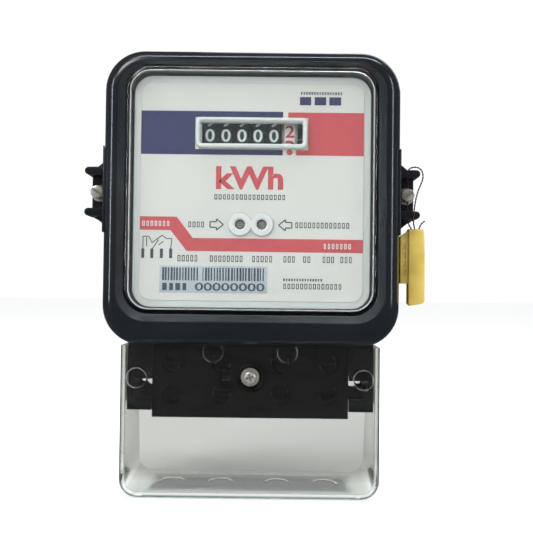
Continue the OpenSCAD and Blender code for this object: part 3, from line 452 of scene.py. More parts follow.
# Straight pads on the sides, and the ears: a low web, two lugs across it, and a gusset that backs
# each lug on its outer side
EAR_REACH, LUG_DY, LUG_R, EAR_FLOOR, LUG_TOP = 64.6, 7.95, 1.5, 36.8, 46.3
for side in (-1, 1):
    x0, x1 = side * (FRAME_HALF - 4.4), side * (FRAME_HALF + 0.01)
    pad = prism("side_pad", [(x0, EAR[1] - 15.6), (x1, EAR[1] - 16.2), (x1, EAR[1] + 16.2),
                             (x0, EAR[1] + 15.6)], PLATE_BACK, RIDGE_Z - 3.2, 0.7, 4)
    carve(front_frame, pad, "UNION")
    web = [(FRAME_HALF - 1.2, EAR[1] + 12.6), (FRAME_HALF + 0.3, EAR[1] + 12.3),
           (EAR[0] - 1.6, EAR[1] + LUG_DY + 2.2), (EAR[0] + 0.6, EAR[1] + LUG_DY + 1.4),
           (EAR_REACH - 1.2, EAR[1] + LUG_DY + 0.9), (EAR_REACH - 1.2, EAR[1] - LUG_DY - 1.2),
           (EAR[0] + 1.4, EAR[1] - LUG_DY - 1.7), (EAR[0] - 0.4, EAR[1] - LUG_DY - 3),
           (FRAME_HALF + 0.4, EAR[1] - 14.4), (FRAME_HALF - 1.2, EAR[1] - 15.2)]
    plate = prism("ear_web", [(side * x, y) for x, y in web], FRAME_BACK, EAR_FLOOR, 0.5)
    carve(front_frame, plate, "UNION")
    # The lower gusset is shorter, to leave the wire its way
    for up_down, end in ((1, EAR[0] + 0.4), (-1, EAR[0] - 1.6)):
        root, tip = LUG_DY + 4.8, LUG_DY + 0.6
        gusset = [(FRAME_HALF - 1.4, root), (FRAME_HALF + 0.2, root - 0.3), (end - 1.2, tip + 1.2),
                  (end, tip), (FRAME_HALF - 1.4, tip)]
        plate = prism("ear_gusset", [(side * x, EAR[1] + up_down * y) for x, y in gusset], EAR_FLOOR - 1,
                      LUG_TOP - 0.8, 0.4)
        carve(front_frame, plate, "UNION")
    for dy in (-LUG_DY, LUG_DY):
        root, tip = FRAME_HALF - 1.4, EAR_REACH - LUG_R
        lug_line = [(root, EAR[1] + dy - LUG_R), (tip, EAR[1] + dy - LUG_R)]
        lug_line += [(tip + LUG_R * math.sin(a), EAR[1] + dy - LUG_R * math.cos(a))
                     for a in [math.pi * k / 8 for k in range(1, 8)]]
        lug_line += [(tip, EAR[1] + dy + LUG_R), (root, EAR[1] + dy + LUG_R)]
        lug = prism("ear_lug", [(side * x, y) for x, y in lug_line], EAR_FLOOR - 2, LUG_TOP, 0.35)
        carve(front_frame, lug, "UNION")


def rod(name, start, end, radius, sides=32):
    """A plain round rod between two places, used as a drill."""
    points, faces = tube([Vector(start), Vector(end)], radius, sides)
    return shape(name, points, faces)


for side in (-1, 1):
    x = side * EAR[0]
    carve(front_frame, rod("screw_hole", (x, EAR[1], 20), (x, EAR[1], 48), 1.8))
    carve(front_frame, rod("wire_hole", (x, EAR[1] - 14, EAR[2]), (x, EAR[1] + 12, EAR[2]), 0.7, 16))
# The skirt is cut away below, where the terminal bay passes under it
bay = prism("bay_gap", [(-48.6, -30), (48.6, -30), (48.6, -23.4), (-48.6, -23.4)], 20, 41.5, 0)
carve(front_frame, bay)

# Gloss polycarbonate: nearly black with a cold blue cast, a faint orange peel, and a skin whose
# shine varies with handling; fine dust dulls it unevenly
gloss, tree = fresh("gloss_black_polycarbonate")
where = add(tree, "ShaderNodeTexCoord")
peel = add(tree, "ShaderNodeTexNoise", {"Vector": where.outputs["Object"], "Scale": 220.0, "Detail": 2.0})
wiped = add(tree, "ShaderNodeTexNoise", {"Vector": where.outputs["Object"], "Scale": 38.0, "Detail": 5.0})
dull = add(tree, "ShaderNodeMapRange", {"Value": wiped.outputs["Fac"], "From Min": 0.3, "From Max": 0.7,
                                        "To Min": 0.13, "To Max": 0.27})
tint = add(tree, "ShaderNodeValToRGB", {"Fac": wiped.outputs["Fac"]})
tint.color_ramp.elements[0].color = paint("#0D1013")
tint.color_ramp.elements[1].color = paint("#171C20")
ripple = add(tree, "ShaderNodeBump", {"Height": peel.outputs["Fac"], "Strength": 0.08, "Distance": 0.0003})
coat = add(tree, "ShaderNodeBsdfPrincipled", {"Base Color": tint.outputs["Color"],
                                              "Roughness": dull.outputs[0], "IOR": 1.585,
                                              "Normal": ripple.outputs[0]})
add(tree, "ShaderNodeOutputMaterial", {"Surface": coat.outputs["BSDF"]})
settle(front_frame, gloss, "front_cover", ["front_frame"], 28)

# ---- Window ----
# A deep clear dish moulded in polycarbonate. Its flange is clamped behind the frame, its walls
# stand inside the frame's opening, and its rounded front edge catches the light.
WIN_X, WIN_LOW, WIN_TOP, WIN_R = 47.2, -14.5, 78.0, 9.5
WIN_Z, WIN_WALL, FLANGE_Z = 62.0, 1.8, 45.2


def window_ring(inset, z):
    return rounded(-WIN_X + inset, WIN_X - inset, WIN_LOW + inset, WIN_TOP - inset, WIN_R - inset, z, 12)


rings = [window_ring(1.8, FLANGE_Z - 2), window_ring(-2.8, FLANGE_Z - 2), window_ring(-3, FLANGE_Z - 1.8),
         window_ring(-3, FLANGE_Z - 0.2), window_ring(-2.8, FLANGE_Z), window_ring(0, FLANGE_Z)]
EDGE = 2.4
for k in range(9):
    t = math.pi / 2 * k / 8
    rings.append(window_ring(EDGE * (1 - math.cos(t)), WIN_Z - EDGE * (1 - math.sin(t))))
rings.append(window_ring(WIN_R - 1.2, WIN_Z))
face_ring = len(rings)
rings.append(window_ring(WIN_R - 1.2, WIN_Z - WIN_WALL))
for k in range(7):
    t = math.pi / 2 * (1 - k / 6)
    rings.append(window_ring(WIN_WALL + 0.9 * (1 - math.cos(t)),
                             WIN_Z - WIN_WALL - 0.9 * (1 - math.sin(t))))
count = len(rings[0])
points = [p for ring in rings for p in ring]
faces = []
for r in range(len(rings)):
    if r == face_ring - 1:
        continue
    a, b = r * count, (r + 1) % len(rings) * count
    faces += [(a + j, a + (j + 1) % count, b + (j + 1) % count, b + j) for j in range(count)]
faces.append(tuple(range((face_ring - 1) * count, face_ring * count)))
faces.append(tuple(range(face_ring * count, (face_ring + 1) * count)))
window = shape("window_moulding", points, faces)


def let_light_pass(tree, skin, code):
    """Ends a clear material: its skin as seen, and a faintly tinted open way for light that casts shadows."""
    rays = add(tree, "ShaderNodeLightPath")
    open_way = add(tree, "ShaderNodeBsdfTransparent", {"Color": paint(code)})
    either = add(tree, "ShaderNodeMixShader", {0: rays.outputs["Is Shadow Ray"], 1: skin.outputs[0],
                                               2: open_way.outputs[0]})
    add(tree, "ShaderNodeOutputMaterial", {"Surface": either.outputs[0]})


# Clear polycarbonate: water-clear with a very slight waviness from the mould; shadows pass through
clear_pc, tree = fresh("clear_polycarbonate_window")
where = add(tree, "ShaderNodeTexCoord")
wave = add(tree, "ShaderNodeTexNoise", {"Vector": where.outputs["Object"], "Scale": 60.0, "Detail": 1.0})
ripple = add(tree, "ShaderNodeBump", {"Height": wave.outputs["Fac"], "Strength": 0.03, "Distance": 0.0004})
resin = add(tree, "ShaderNodeBsdfPrincipled", {"Base Color": paint("#F4F7F6"), "Transmission Weight": 1.0,
                                              "Roughness": 0.015, "IOR": 1.5, "Normal": ripple.outputs[0]})
let_light_pass(tree, resin, "#F2F5F4")
settle(window, clear_pc, "front_cover", ["window"], 40)

# ---- Dial plate ----
# The white face behind the window, moulded in ABS: a raised bezel frames the number drums, and a
# double boss holds the two lamp holes. It stands on four posts on the circuit board.
DIAL_Z, DIAL_X, DIAL_LOW, DIAL_TOP, DIAL_R = 52.0, 44.9, -12.2, 75.7, 7.2
BEZEL_X, BEZEL_Y, VIEW_W, VIEW_H, LIP, BEZEL_RISE = -0.3, 53.85, 38.6, 8.2, 1.65, 3.0
LAMP_X, LAMP_Y, LAMP_PITCH, BOSS_R, LAMP_HOLE_R = -0.25, 19.45, 8.2, 4.4, 1.9


def plate_ring(inset, z):
    return rounded(-DIAL_X + inset, DIAL_X - inset, DIAL_LOW + inset, DIAL_TOP - inset,
                   DIAL_R - inset, z, 10)


dial = loft("dial_moulding", [plate_ring(0, DIAL_Z - 2), plate_ring(0, DIAL_Z - 0.6),
                              plate_ring(0.18, DIAL_Z - 0.18), plate_ring(0.6, DIAL_Z)])


def bezel_ring(grow, z, radius):
    return rounded(BEZEL_X - VIEW_W / 2 - grow, BEZEL_X + VIEW_W / 2 + grow, BEZEL_Y - VIEW_H / 2 - grow,
                   BEZEL_Y + VIEW_H / 2 + grow, radius, z, 6)


bezel_top = DIAL_Z + BEZEL_RISE
hood = loft("bezel", [bezel_ring(LIP, DIAL_Z - 1.5, 2.2), bezel_ring(LIP, bezel_top - 0.7, 2.2),
                      bezel_ring(LIP - 0.2, bezel_top - 0.2, 2.0), bezel_ring(LIP - 0.7, bezel_top, 1.5)])
carve(dial, hood, "UNION")
for side in (-1, 1):
    x = LAMP_X + side * LAMP_PITCH / 2
    boss = loft("lamp_boss", [rounded(x - r, x + r, LAMP_Y - r, LAMP_Y + r, r - 0.001, z, 12)
                              for r, z in ((BOSS_R, DIAL_Z - 1), (BOSS_R, DIAL_Z + 0.9),
                                           (BOSS_R - 0.3, DIAL_Z + 1.2))])
    carve(dial, boss, "UNION")
opening = loft("opening", [bezel_ring(0, DIAL_Z - 5, 0.7), bezel_ring(0, bezel_top - 0.9, 0.7),
                           bezel_ring(0.75, bezel_top + 0.1, 1.3)])
carve(dial, opening)
for side in (-1, 1):
    x = LAMP_X + side * LAMP_PITCH / 2
    carve(dial, rod("lamp_hole", (x, LAMP_Y, DIAL_Z - 4), (x, LAMP_Y, DIAL_Z + 3), LAMP_HOLE_R, 40))
    funnel = loft("funnel", [rounded(x - r, x + r, LAMP_Y - r, LAMP_Y + r, r - 0.001, z, 12)
                             for r, z in ((LAMP_HOLE_R - 0.1, DIAL_Z + 0.5),
                                          (LAMP_HOLE_R + 0.6, DIAL_Z + 1.3))])
    carve(dial, funnel)
for sx in (-1, 1):
    for sy in (-1, 1):
        post = rod("post", (sx * 39, 39.5 + sy * 32, 11.62), (sx * 39, 39.5 + sy * 32, DIAL_Z - 1.5), 3)
        carve(dial, post, "UNION")

# White ABS: bright, very slightly green-grey, satin from a fine spark-eroded mould
abs_white, tree = fresh("white_moulded_abs")
where = add(tree, "ShaderNodeTexCoord")
grain = add(tree, "ShaderNodeTexNoise", {"Vector": where.outputs["Object"], "Scale": 2600.0, "Detail": 2.0})
shade = add(tree, "ShaderNodeTexNoise", {"Vector": where.outputs["Object"], "Scale": 40.0, "Detail": 3.0})
tint = add(tree, "ShaderNodeValToRGB", {"Fac": shade.outputs["Fac"]})
tint.color_ramp.elements[0].color = paint("#C3C3BE")
tint.color_ramp.elements[1].color = paint("#CBCBC6")
ripple = add(tree, "ShaderNodeBump", {"Height": grain.outputs["Fac"], "Strength": 0.1, "Distance": 0.0001})
coat = add(tree, "ShaderNodeBsdfPrincipled", {"Base Color": tint.outputs["Color"], "Roughness": 0.42,
                                              "IOR": 1.53, "Normal": ripple.outputs[0]})
add(tree, "ShaderNodeOutputMaterial", {"Surface": coat.outputs["BSDF"]})
settle(dial, abs_white, "meter_base", ["dial_plate"])

# ---- Printed label and its inks ----
# A printed plastic film glued on the dial plate, 0.3 mm thick, with holes for the bezel and the
# lamp boss. The inks are screen printed: violet, red and dark grey, each a thin even layer.
LABEL_T = 0.3
INK_T = 0.03
label_top = DIAL_Z + LABEL_T


def label_ring(inset, z):
    return rounded(-42.2 + inset, 42.2 - inset, -9.5 + inset, 73.0 - inset, 4.5 - inset, z, 8)


label = loft("label_film", [label_ring(0, DIAL_Z), label_ring(0, label_top - 0.1),
                            label_ring(0.1, label_top)])
hood = loft("bezel_gap", [bezel_ring(LIP + 0.2, DIAL_Z - 1, 1.6), bezel_ring(LIP + 0.2, DIAL_Z + 1, 1.6)])
carve(label, hood)
for side in (-1, 1):
    x = LAMP_X + side * LAMP_PITCH / 2
    carve(label, rod("boss_gap", (x, LAMP_Y, DIAL_Z - 1), (x, LAMP_Y, DIAL_Z + 1), BOSS_R + 0.2, 48))


def matt_print(name, low, high, rough, scale, shine=0.5):
    """A material for a printed, painted or moulded surface: two close tones over a size that shows."""
    ink, tree = fresh(name)
    where = add(tree, "ShaderNodeTexCoord")
    grain = add(tree, "ShaderNodeTexNoise", {"Vector": where.outputs["Object"], "Scale": scale,
                                             "Detail": 4.0})
    tint = add(tree, "ShaderNodeValToRGB", {"Fac": grain.outputs["Fac"]})
    tint.color_ramp.elements[0].position = 0.3
    tint.color_ramp.elements[0].color = paint(low)
    tint.color_ramp.elements[1].position = 0.7
    tint.color_ramp.elements[1].color = paint(high)
    ripple = add(tree, "ShaderNodeBump", {"Height": grain.outputs["Fac"], "Strength": 0.05,
                                          "Distance": 0.0001})
    coat = add(tree, "ShaderNodeBsdfPrincipled", {"Base Color": tint.outputs["Color"], "Roughness": rough,
                                                 "Specular IOR Level": shine, "Normal": ripple.outputs[0]})
    add(tree, "ShaderNodeOutputMaterial", {"Surface": coat.outputs["BSDF"]})
    return ink


# Film: satin polyester, a shade greyer than the plate under it
film = matt_print("satin_polyester_film", "#C0BCB5", "#C7C3BC", 0.38, 30.0)
settle(label, film, "meter_base", ["printed_label"])
# Inks: flat and a little rough, with the slight mottle of a hand-wiped screen
violet_ink = matt_print("violet_screen_ink", "#0E1246", "#14184E", 0.5, 300.0)
red_ink = matt_print("red_screen_ink", "#AE393E", "#B74146", 0.5, 300.0)
grey_ink = matt_print("dark_grey_screen_ink", "#23292E", "#2D343A", 0.5, 300.0)
white_ink = matt_print("white_screen_ink", "#C4C9C5", "#CDD1CD", 0.5, 300.0)


def printed(name, outlines, base, ink, height=INK_T):
    """One layer of ink: flat outlines, each a closed thin solid lying on the film."""
    points, faces = [], []
    for line in outlines:
        n, first = len(line), len(points)
        points += [(x, y, base) for x, y in line] + [(x, y, base + height) for x, y in line]
        faces.append(tuple(first + k for k in range(n)))
        faces.append(tuple(first + n + k for k in range(n)))
        faces += [(first + k, first + (k + 1) % n, first + n + (k + 1) % n, first + n + k)
                  for k in range(n)]
    return settle(shape(name, points, faces), ink, "meter_base")


def bar(x0, y0, x1, y1):
    return [(x0, y0), (x1, y0), (x1, y1), (x0, y1)]


# Geometry Nodes: a row of thin upright marks whose widths vary, with some left out
row_tree = bpy.data.node_groups.new("row_of_marks", "GeometryNodeTree")
for field, kind in (("Start", "Vector"), ("Count", "Int"), ("Pitch", "Float"), ("Size", "Vector"),
                         ("Least width", "Float"), ("Left out", "Float"), ("Seed", "Int"),
                         ("Stroke", "Float"), ("Ink", "Material")):
    row_tree.interface.new_socket(field, in_out="INPUT", socket_type="NodeSocket" + kind)
row_tree.interface.new_socket("Marks", in_out="OUTPUT", socket_type="NodeSocketGeometry")
given = add(row_tree, "NodeGroupInput").outputs
along = add(row_tree, "ShaderNodeCombineXYZ", {"X": given["Pitch"]})
line = add(row_tree, "GeometryNodeMeshLine", {"Count": given["Count"], "Start Location": given["Start"],
                                              "Offset": along.outputs[0]})
# On the float form of Random Value, sockets 2 and 3 are its least and greatest value and 8 is its seed
throw = add(row_tree, "FunctionNodeRandomValue", {2: 0.0, 3: 1.0, 8: given["Seed"]})
empty = add(row_tree, "FunctionNodeCompare", {0: throw.outputs[1], 1: given["Left out"]},
            operation="LESS_THAN")
kept = add(row_tree, "GeometryNodeDeleteGeometry", {0: line.outputs[0], 1: empty.outputs[0]})
wide = add(row_tree, "FunctionNodeRandomValue", {2: given["Least width"], 3: 1.0, 8: given["Seed"]})
stretch = add(row_tree, "ShaderNodeCombineXYZ", {"X": wide.outputs[1], "Y": 1.0, "Z": 1.0})
# A mark is a plain bar, or a hollow one where a stroke is given: a flat loop stood upright
solid = add(row_tree, "GeometryNodeMeshCube", {"Size": given["Size"]})
parts = add(row_tree, "ShaderNodeSeparateXYZ", {0: given["Size"]})
inner_w = add(row_tree, "ShaderNodeMath", {0: parts.outputs[0], 1: given["Stroke"]}, operation="SUBTRACT")
inner_h = add(row_tree, "ShaderNodeMath", {0: parts.outputs[2], 1: given["Stroke"]}, operation="SUBTRACT")
loop = add(row_tree, "GeometryNodeCurvePrimitiveQuadrilateral",
           {0: inner_w.outputs[0], 1: inner_h.outputs[0]})
pen = add(row_tree, "GeometryNodeCurvePrimitiveQuadrilateral", {0: given["Stroke"], 1: given["Stroke"]})
drawn = add(row_tree, "GeometryNodeCurveToMesh", {0: loop.outputs[0], 1: pen.outputs[0]})
pressed = add(row_tree, "ShaderNodeMath", {0: parts.outputs[1], 1: given["Stroke"]}, operation="DIVIDE")
flat = add(row_tree, "ShaderNodeCombineXYZ", {"X": 1.0, "Y": 1.0, "Z": pressed.outputs[0]})
hollow = add(row_tree, "GeometryNodeTransform", {"Geometry": drawn.outputs[0], "Scale": flat.outputs[0]})
upright = add(row_tree, "GeometryNodeTransform", {"Geometry": hollow.outputs[0],
                                                  "Rotation": (math.pi / 2, 0, 0)})
inked_loop = add(row_tree, "FunctionNodeCompare", {0: given["Stroke"], 1: 0.0}, operation="GREATER_THAN")
mark = add(row_tree, "GeometryNodeSwitch", {0: inked_loop.outputs[0], 1: solid.outputs[0],
                                            2: upright.outputs[0]}, input_type="GEOMETRY")
row = add(row_tree, "GeometryNodeInstanceOnPoints", {"Points": kept.outputs[0], "Instance": mark.outputs[0],
                                                     "Scale": stretch.outputs[0]})
real = add(row_tree, "GeometryNodeRealizeInstances", {0: row.outputs[0]})
inked = add(row_tree, "GeometryNodeSetMaterial", {"Geometry": real.outputs[0], "Material": given["Ink"]})
add(row_tree, "NodeGroupOutput", {"Marks": inked.outputs[0]})


def marks(name, rows, base, ink, stroke=0.0):
    """Rows of small marks as one mesh. A row gives its left and right, low and high, its pitch, its
    marks' width, the least share of that width, the share of marks left out, and a seed."""
    whole = bmesh.new()
    for left, right, low, high, pitch, wide, least, gaps, seed in rows:
        obj = placed(name, bpy.data.meshes.new(name))
        work = obj.modifiers.new("row", "NODES")
        work.node_group = row_tree
        values = {"Start": up(left + wide / 2, (low + high) / 2, base + INK_T / 2),
                  "Count": int((right - left - wide) / pitch) + 1, "Pitch": pitch * MM,
                  "Size": Vector((wide, INK_T, high - low)) * MM, "Least width": least, "Left out": gaps,
                  "Seed": seed, "Stroke": stroke * MM, "Ink": ink}
        for item in row_tree.interface.items_tree:
            if item.in_out == "INPUT":
                work[item.identifier] = values[item.name]
        made = baked(obj)
        whole.from_mesh(made)
        bpy.data.objects.remove(obj)
        bpy.data.meshes.remove(made)
    mesh = bpy.data.meshes.new(name)
    whole.to_mesh(mesh)
    whole.free()
    return settle(placed(name, mesh), ink, "meter_base")


bezel_left, bezel_right = BEZEL_X - VIEW_W / 2 - LIP - 0.35, BEZEL_X + VIEW_W / 2 + LIP + 0.35
bezel_low, bezel_high = BEZEL_Y - VIEW_H / 2 - LIP - 0.35, BEZEL_Y + VIEW_H / 2 + LIP + 0.35
printed("band_violet", [bar(-42.1, 45.7, bezel_left, 62.2), bar(bezel_left, bezel_high, 11.5, 62.2),
                        bar(bezel_left, 45.7, 11.5, bezel_low)], label_top, violet_ink)
printed("band_red", [bar(bezel_right, 45.7, 42.1, 62.0), bar(13.4, bezel_high, bezel_right, 62.0),
                     bar(16.5, 45.7, bezel_right, bezel_low)], label_top, red_ink)
dot = [(14.05 + 1.15 * math.cos(a), 46.9 + 1.15 * math.sin(a))
       for a in [2 * math.pi * k / 28 for k in range(28)]]
printed("dot_red", [dot], label_top, red_ink)
printed("ribbon_red", [[(-42.1, 17.0), (-30.5, 17.0), (-24.3, 9.2), (42.1, 9.05), (42.1, 14.1),
                        (-22.1, 14.15), (-28.2, 22.1), (-42.1, 22.1)]], label_top, red_ink)
ribbon_top = label_top + INK_T
LETTER = (0.8, 0.7, 0.08)
marks("ribbon_words", [(-41.2, -30.4, 18.5, 20.5, 1.55, 1.05, 0.7, 0.1, 3),
                       (27.2, 37.6, 10.5, 12.5, 1.55, 1.05, 0.7, 0.1, 8)], ribbon_top,
      white_ink, stroke=0.4)
marks("words_violet", [(17.6, 33.9, 64.8, 67.9, 5.6, 4.6, 0.9, 0.0, 2)], label_top, violet_ink)
rows = [(18.0, 34.0, 68.7, 69.9), (12.1, 27.0, -1.8, -0.7)]
rows = [(*r, 1.0, *LETTER, 11 + k) for k, r in enumerate(rows)]
larger = [(-14.2, 13.1, 28.7, 30.8), (-23.9, -16.6, 18.1, 20.4), (16.4, 37.6, 18.2, 20.5),
          (12.1, 34.7, -4.8, -2.6)]
larger += [(left, right, 5.2, 7.7) for left, right in ((-27.8, -19.0), (-15.6, -2.2), (0.3, 9.1),
                                                       (12.1, 17.3), (19.5, 24.0), (26.8, 32.4),
                                                       (33.5, 39.0))]
rows += [(*r, 1.6, 1.32, 0.78, 0.0, 21 + k) for k, r in enumerate(larger)]
marks("words_grey", rows, label_top, grey_ink, stroke=0.48)


def strokes(lines, width):
    """Straight pen strokes of one width between pairs of points."""
    made = []
    for (ax, ay), (bx, by) in lines:
        run = math.hypot(bx - ax, by - ay)
        nx, ny = -(by - ay) / run * width / 2, (bx - ax) / run * width / 2
        made.append([(ax + nx, ay + ny), (bx + nx, by + ny), (bx - nx, by - ny), (ax - nx, ay - ny)])
    return made


def arrow(x, y, way):
    """An outlined arrow, drawn with one thin line: way is 1 to the right and -1 to the left."""
    length, rise, line = 5.0, 2.1, 0.45
    tip, neck = x + way * length, x + way * length * 0.48
    outer = [(x, y - rise / 2), (neck, y - rise / 2), (neck, y - rise), (tip, y), (neck, y + rise),
             (neck, y + rise / 2), (x, y + rise / 2)]
    return strokes(zip(outer, outer[1:] + outer[:1]), line)


printed("arrows", arrow(-15.6, 19.3, 1) + arrow(15.2, 19.3, -1), label_top, grey_ink)

# The wiring symbol: four terminals as thick bars, with the leads to a coil and back above them
stubs = [-40.8, -37.4, -33.8, -30.3]
symbol = strokes([((x, 6.4), (x, 10.0)) for x in stubs], 1.15)
symbol += strokes([((-40.8, 10), (-40.8, 14.6)), ((-40.8, 14.6), (-38.6, 14.6)),
                   ((-39.4, 10.8), (-39.4, 14.2)), ((-38.6, 14.6), (-37.4, 12.2)),
                   ((-37.4, 12.2), (-33.6, 15.0)), ((-37.2, 10), (-34.9, 13.4)),
                   ((-33.6, 15.0), (-32.0, 13.8)), ((-34.9, 11.4), (-33.0, 12.8)),
                   ((-32.0, 13.8), (-29.9, 13.8)), ((-29.9, 13.8), (-30.3, 10))], 0.34)
printed("wiring_symbol", symbol, label_top, grey_ink)

# ---- Unit mark and barcode label ----
# The large red unit mark stands in the middle of the face. The barcode is a pale blue paper label
# stuck over the film, printed with plain bars and zeros.


def lettering(text, left, low, width, height, weight):
    """Plain letters as a flat mesh of the given size, lying at height 0."""
    curve = bpy.data.curves.new("letters", "FONT")
    curve.body = text
    curve.offset = weight
    curve.resolution_u = 6
    holder = placed("letters", curve)
    bpy.context.view_layer.update()
    flat = baked(holder)
    bpy.data.objects.remove(holder)
    xs, ys = [v.co.x for v in flat.vertices], [v.co.y for v in flat.vertices]
    sx, sy = width / (max(xs) - min(xs)), height / (max(ys) - min(ys))
    for v in flat.vertices:
        v.co = Vector((left + (v.co.x - min(xs)) * sx, low + (v.co.y - min(ys)) * sy, 0))
    return flat


def raised(name, flat, height, place, cuts=()):
    """Flat letters cut across at some heights, given a thickness, and laid where place(x, y, z) says."""
    work = bmesh.new()
    work.from_mesh(flat)
    bmesh.ops.remove_doubles(work, verts=work.verts, dist=0.0005)
    for y in cuts:
        bmesh.ops.bisect_plane(work, geom=work.verts[:] + work.edges[:] + work.faces[:], plane_co=(0, y, 0),
                               plane_no=(0, 1, 0))
    grown = bmesh.ops.extrude_face_region(work, geom=work.faces[:])
    for v in grown["geom"]:
        if isinstance(v, bmesh.types.BMVert):
            v.co.z += height
    for v in work.verts:
        v.co = place(*v.co)
    bmesh.ops.recalc_face_normals(work, faces=work.faces)
    mesh = bpy.data.meshes.new(name)
    work.to_mesh(mesh)
    work.free()
    bpy.data.meshes.remove(flat)
    return mesh


def on_film(x, y, z):
    return up(x, y, label_top + z)


unit = raised("unit_mark", lettering("kWh", -13.6, 32.6, 25.4, 8.8, 0.035), INK_T, on_film)
settle(placed("unit_mark", unit), red_ink, "meter_base", corner=60)

CODE_LEFT, CODE_RIGHT, CODE_LOW, CODE_HIGH = -34.4, 6.2, -6.5, 3.7
PAPER_T = 0.1
paper_top = label_top + PAPER_T
paper = prism("barcode_paper", bar(CODE_LEFT, CODE_LOW, CODE_RIGHT, CODE_HIGH), label_top,
              paper_top, 0.04, 2)
# Coated label paper: pale blue-grey, with a faint fibre mottle
paper_blue = matt_print("coated_label_paper", "#9BA2A8", "#A8AEB3", 0.55, 700.0)
settle(paper, paper_blue, "meter_base", ["barcode_label"])
marks("barcode_bars", [(-33.5, 5.4, -1.9, 3.0, 1.08, 0.74, 0.45, 0.1, 5),
                       (-33.0, 5.4, -1.9, 3.0, 1.62, 0.4, 0.6, 0.35, 9)], paper_top, grey_ink)
digits = raised("barcode_digits", lettering("00000000", -21.0, -5.7, 26.2, 3.0, 0.015), INK_T,
                lambda x, y, z: up(x, y, paper_top + z))
settle(placed("barcode_digits", digits), grey_ink, "meter_base", corner=60)
marks("barcode_words", [(-33.4, -23.6, -5.6, -2.9, 2.5, 1.9, 0.7, 0.0, 4)], paper_top, grey_ink)

# ---- Number drums ----
# Six drums moulded in acetal turn on one steel shaft: five black ones with white numbers, and the
# fast one, white with red numbers. Each has a ring of teeth beside its band, and all but the first a driver
# disc.
DRUM_Y, DRUM_Z, DRUM_R, DRUM_PITCH, BAND_W = 53.65, 39.1, 9.5, 6.1, 4.2
DRUM_LEFT = BEZEL_X + 0.2 - 3 * DRUM_PITCH
RESTING = [0, 0, 0, 0, 0, 2]
FAST_LEAD = 0.3
TEETH_W, PINION_AT = 0.85, 36.87


def turned_part(name, profile, sides, x0):
    """A part turned about the drum shaft: the profile gives distance along it and radius."""
    rings = []
    for along, radius in profile:
        rings.append([(x0 + along, DRUM_Y + radius * math.sin(2 * math.pi * k / sides),
                       DRUM_Z + radius * math.cos(2 * math.pi * k / sides)) for k in range(sides)])
    return loft(name, rings, looped=True)


# Black acetal: smooth and slightly waxy; the slow drums have yellowed a little towards grey
acetal_black = matt_print("black_moulded_acetal", "#1D2226", "#262C30", 0.4, 500.0)
# White acetal: waxy and warm, with its shine spread out
acetal_white = matt_print("white_moulded_acetal", "#DAD2CC", "#E4DDD6", 0.38, 500.0)
number_white = matt_print("white_number_ink", "#D4DBDB", "#E0E6E6", 0.5, 600.0)
number_red = matt_print("red_number_ink", "#B5333F", "#C23F49", 0.5, 600.0)
for k in range(6):
    x0 = DRUM_LEFT + k * DRUM_PITCH
    fast = k == 5
    name, body = f"number_drum_{k + 1}", f"drum_{k + 1}"
    resin, ink, slot = acetal_black, number_white, "drum_black"
    teeth, root, tip, root_a, tip_a, start = 20, 6.9, 8.7, 4.9, 2.2, PINION_AT + 9
    if fast:
        resin, ink, slot = acetal_white, number_red, "drum_white"
        teeth, root, tip, root_a, tip_a, start = 40, 7.5, 8.35, 2.6, 1.0, -PINION_AT
    profile = [(0, 1.08), (0, 2.4), (1.4, 2.5), (1.4, 8.2), (0, 8.3), (0, 9.25), (0.25, DRUM_R),
               (BAND_W - 0.25, DRUM_R), (BAND_W, 9.25), (BAND_W, 1.08)]
    band = turned_part(name, profile, 96, x0)
    # Teeth beside the band: twenty for the transfer pinion, or forty fine ones for the drive
    flank = []
    for i in range(teeth):
        for r, a in ((root, -root_a), (tip, -tip_a), (tip, tip_a), (root, root_a)):
            flank.append((r, math.radians(360 * i / teeth + a + start)))
    rings = []
    for along, shrink in ((BAND_W - 0.05, 0), (BAND_W + TEETH_W - 0.08, 0), (BAND_W + TEETH_W, 0.08)):
        rings.append([(x0 + along, DRUM_Y + (r - shrink) * math.sin(a), DRUM_Z - (r - shrink) * math.cos(a))
                      for r, a in flank])
    carve(band, loft("teeth", rings), "UNION")
    if k:
        disc = rod("driver", (x0 - TEETH_W, DRUM_Y, DRUM_Z), (x0 + 0.6, DRUM_Y, DRUM_Z), 7.1, 48)
        carve(band, disc, "UNION")
    carve(band, rod("shaft_hole", (x0 - 3, DRUM_Y, DRUM_Z), (x0 + 8, DRUM_Y, DRUM_Z), 1.05, 32))
    settle(band, resin, body, [body], 30)
    # Ten numbers printed round the band, bent to it
    numbers = bmesh.new()
    for digit in range(10):
        left, wide = (-0.9, 1.7) if digit == 1 else (-1.75, 3.5)
        lead = math.radians((digit - RESTING[k]) * -36.0 + (FAST_LEAD * 36.0 if fast else 0.0))

        def round_band(x, y, z):
            turn, radius = lead + y / DRUM_R, DRUM_R + z
            return up(x0 + BAND_W / 2 + x, DRUM_Y + radius * math.sin(turn),
                      DRUM_Z + radius * math.cos(turn))

        part = raised("digit", lettering(str(digit), left, -2.45, wide, 4.9, 0.016), 0.04, round_band,
                      [cut * 0.45 for cut in range(-5, 6)])
        numbers.from_mesh(part)
        bpy.data.meshes.remove(part)
    bmesh.ops.recalc_face_normals(numbers, faces=numbers.faces)
    mesh = bpy.data.meshes.new(name + "_numbers")
    numbers.to_mesh(mesh)
    numbers.free()
    settle(placed(name + "_numbers", mesh), ink, body, corner=60)

# ---- Sealing screws ----
# Tall cheese-head screws in nickel-plated brass, slotted, and drilled across for the wire. Each
# stands on a plain washer between the lugs.
HEAD_R, HEAD_LOW, HEAD_HIGH = 2.5, 37.6, 44.6


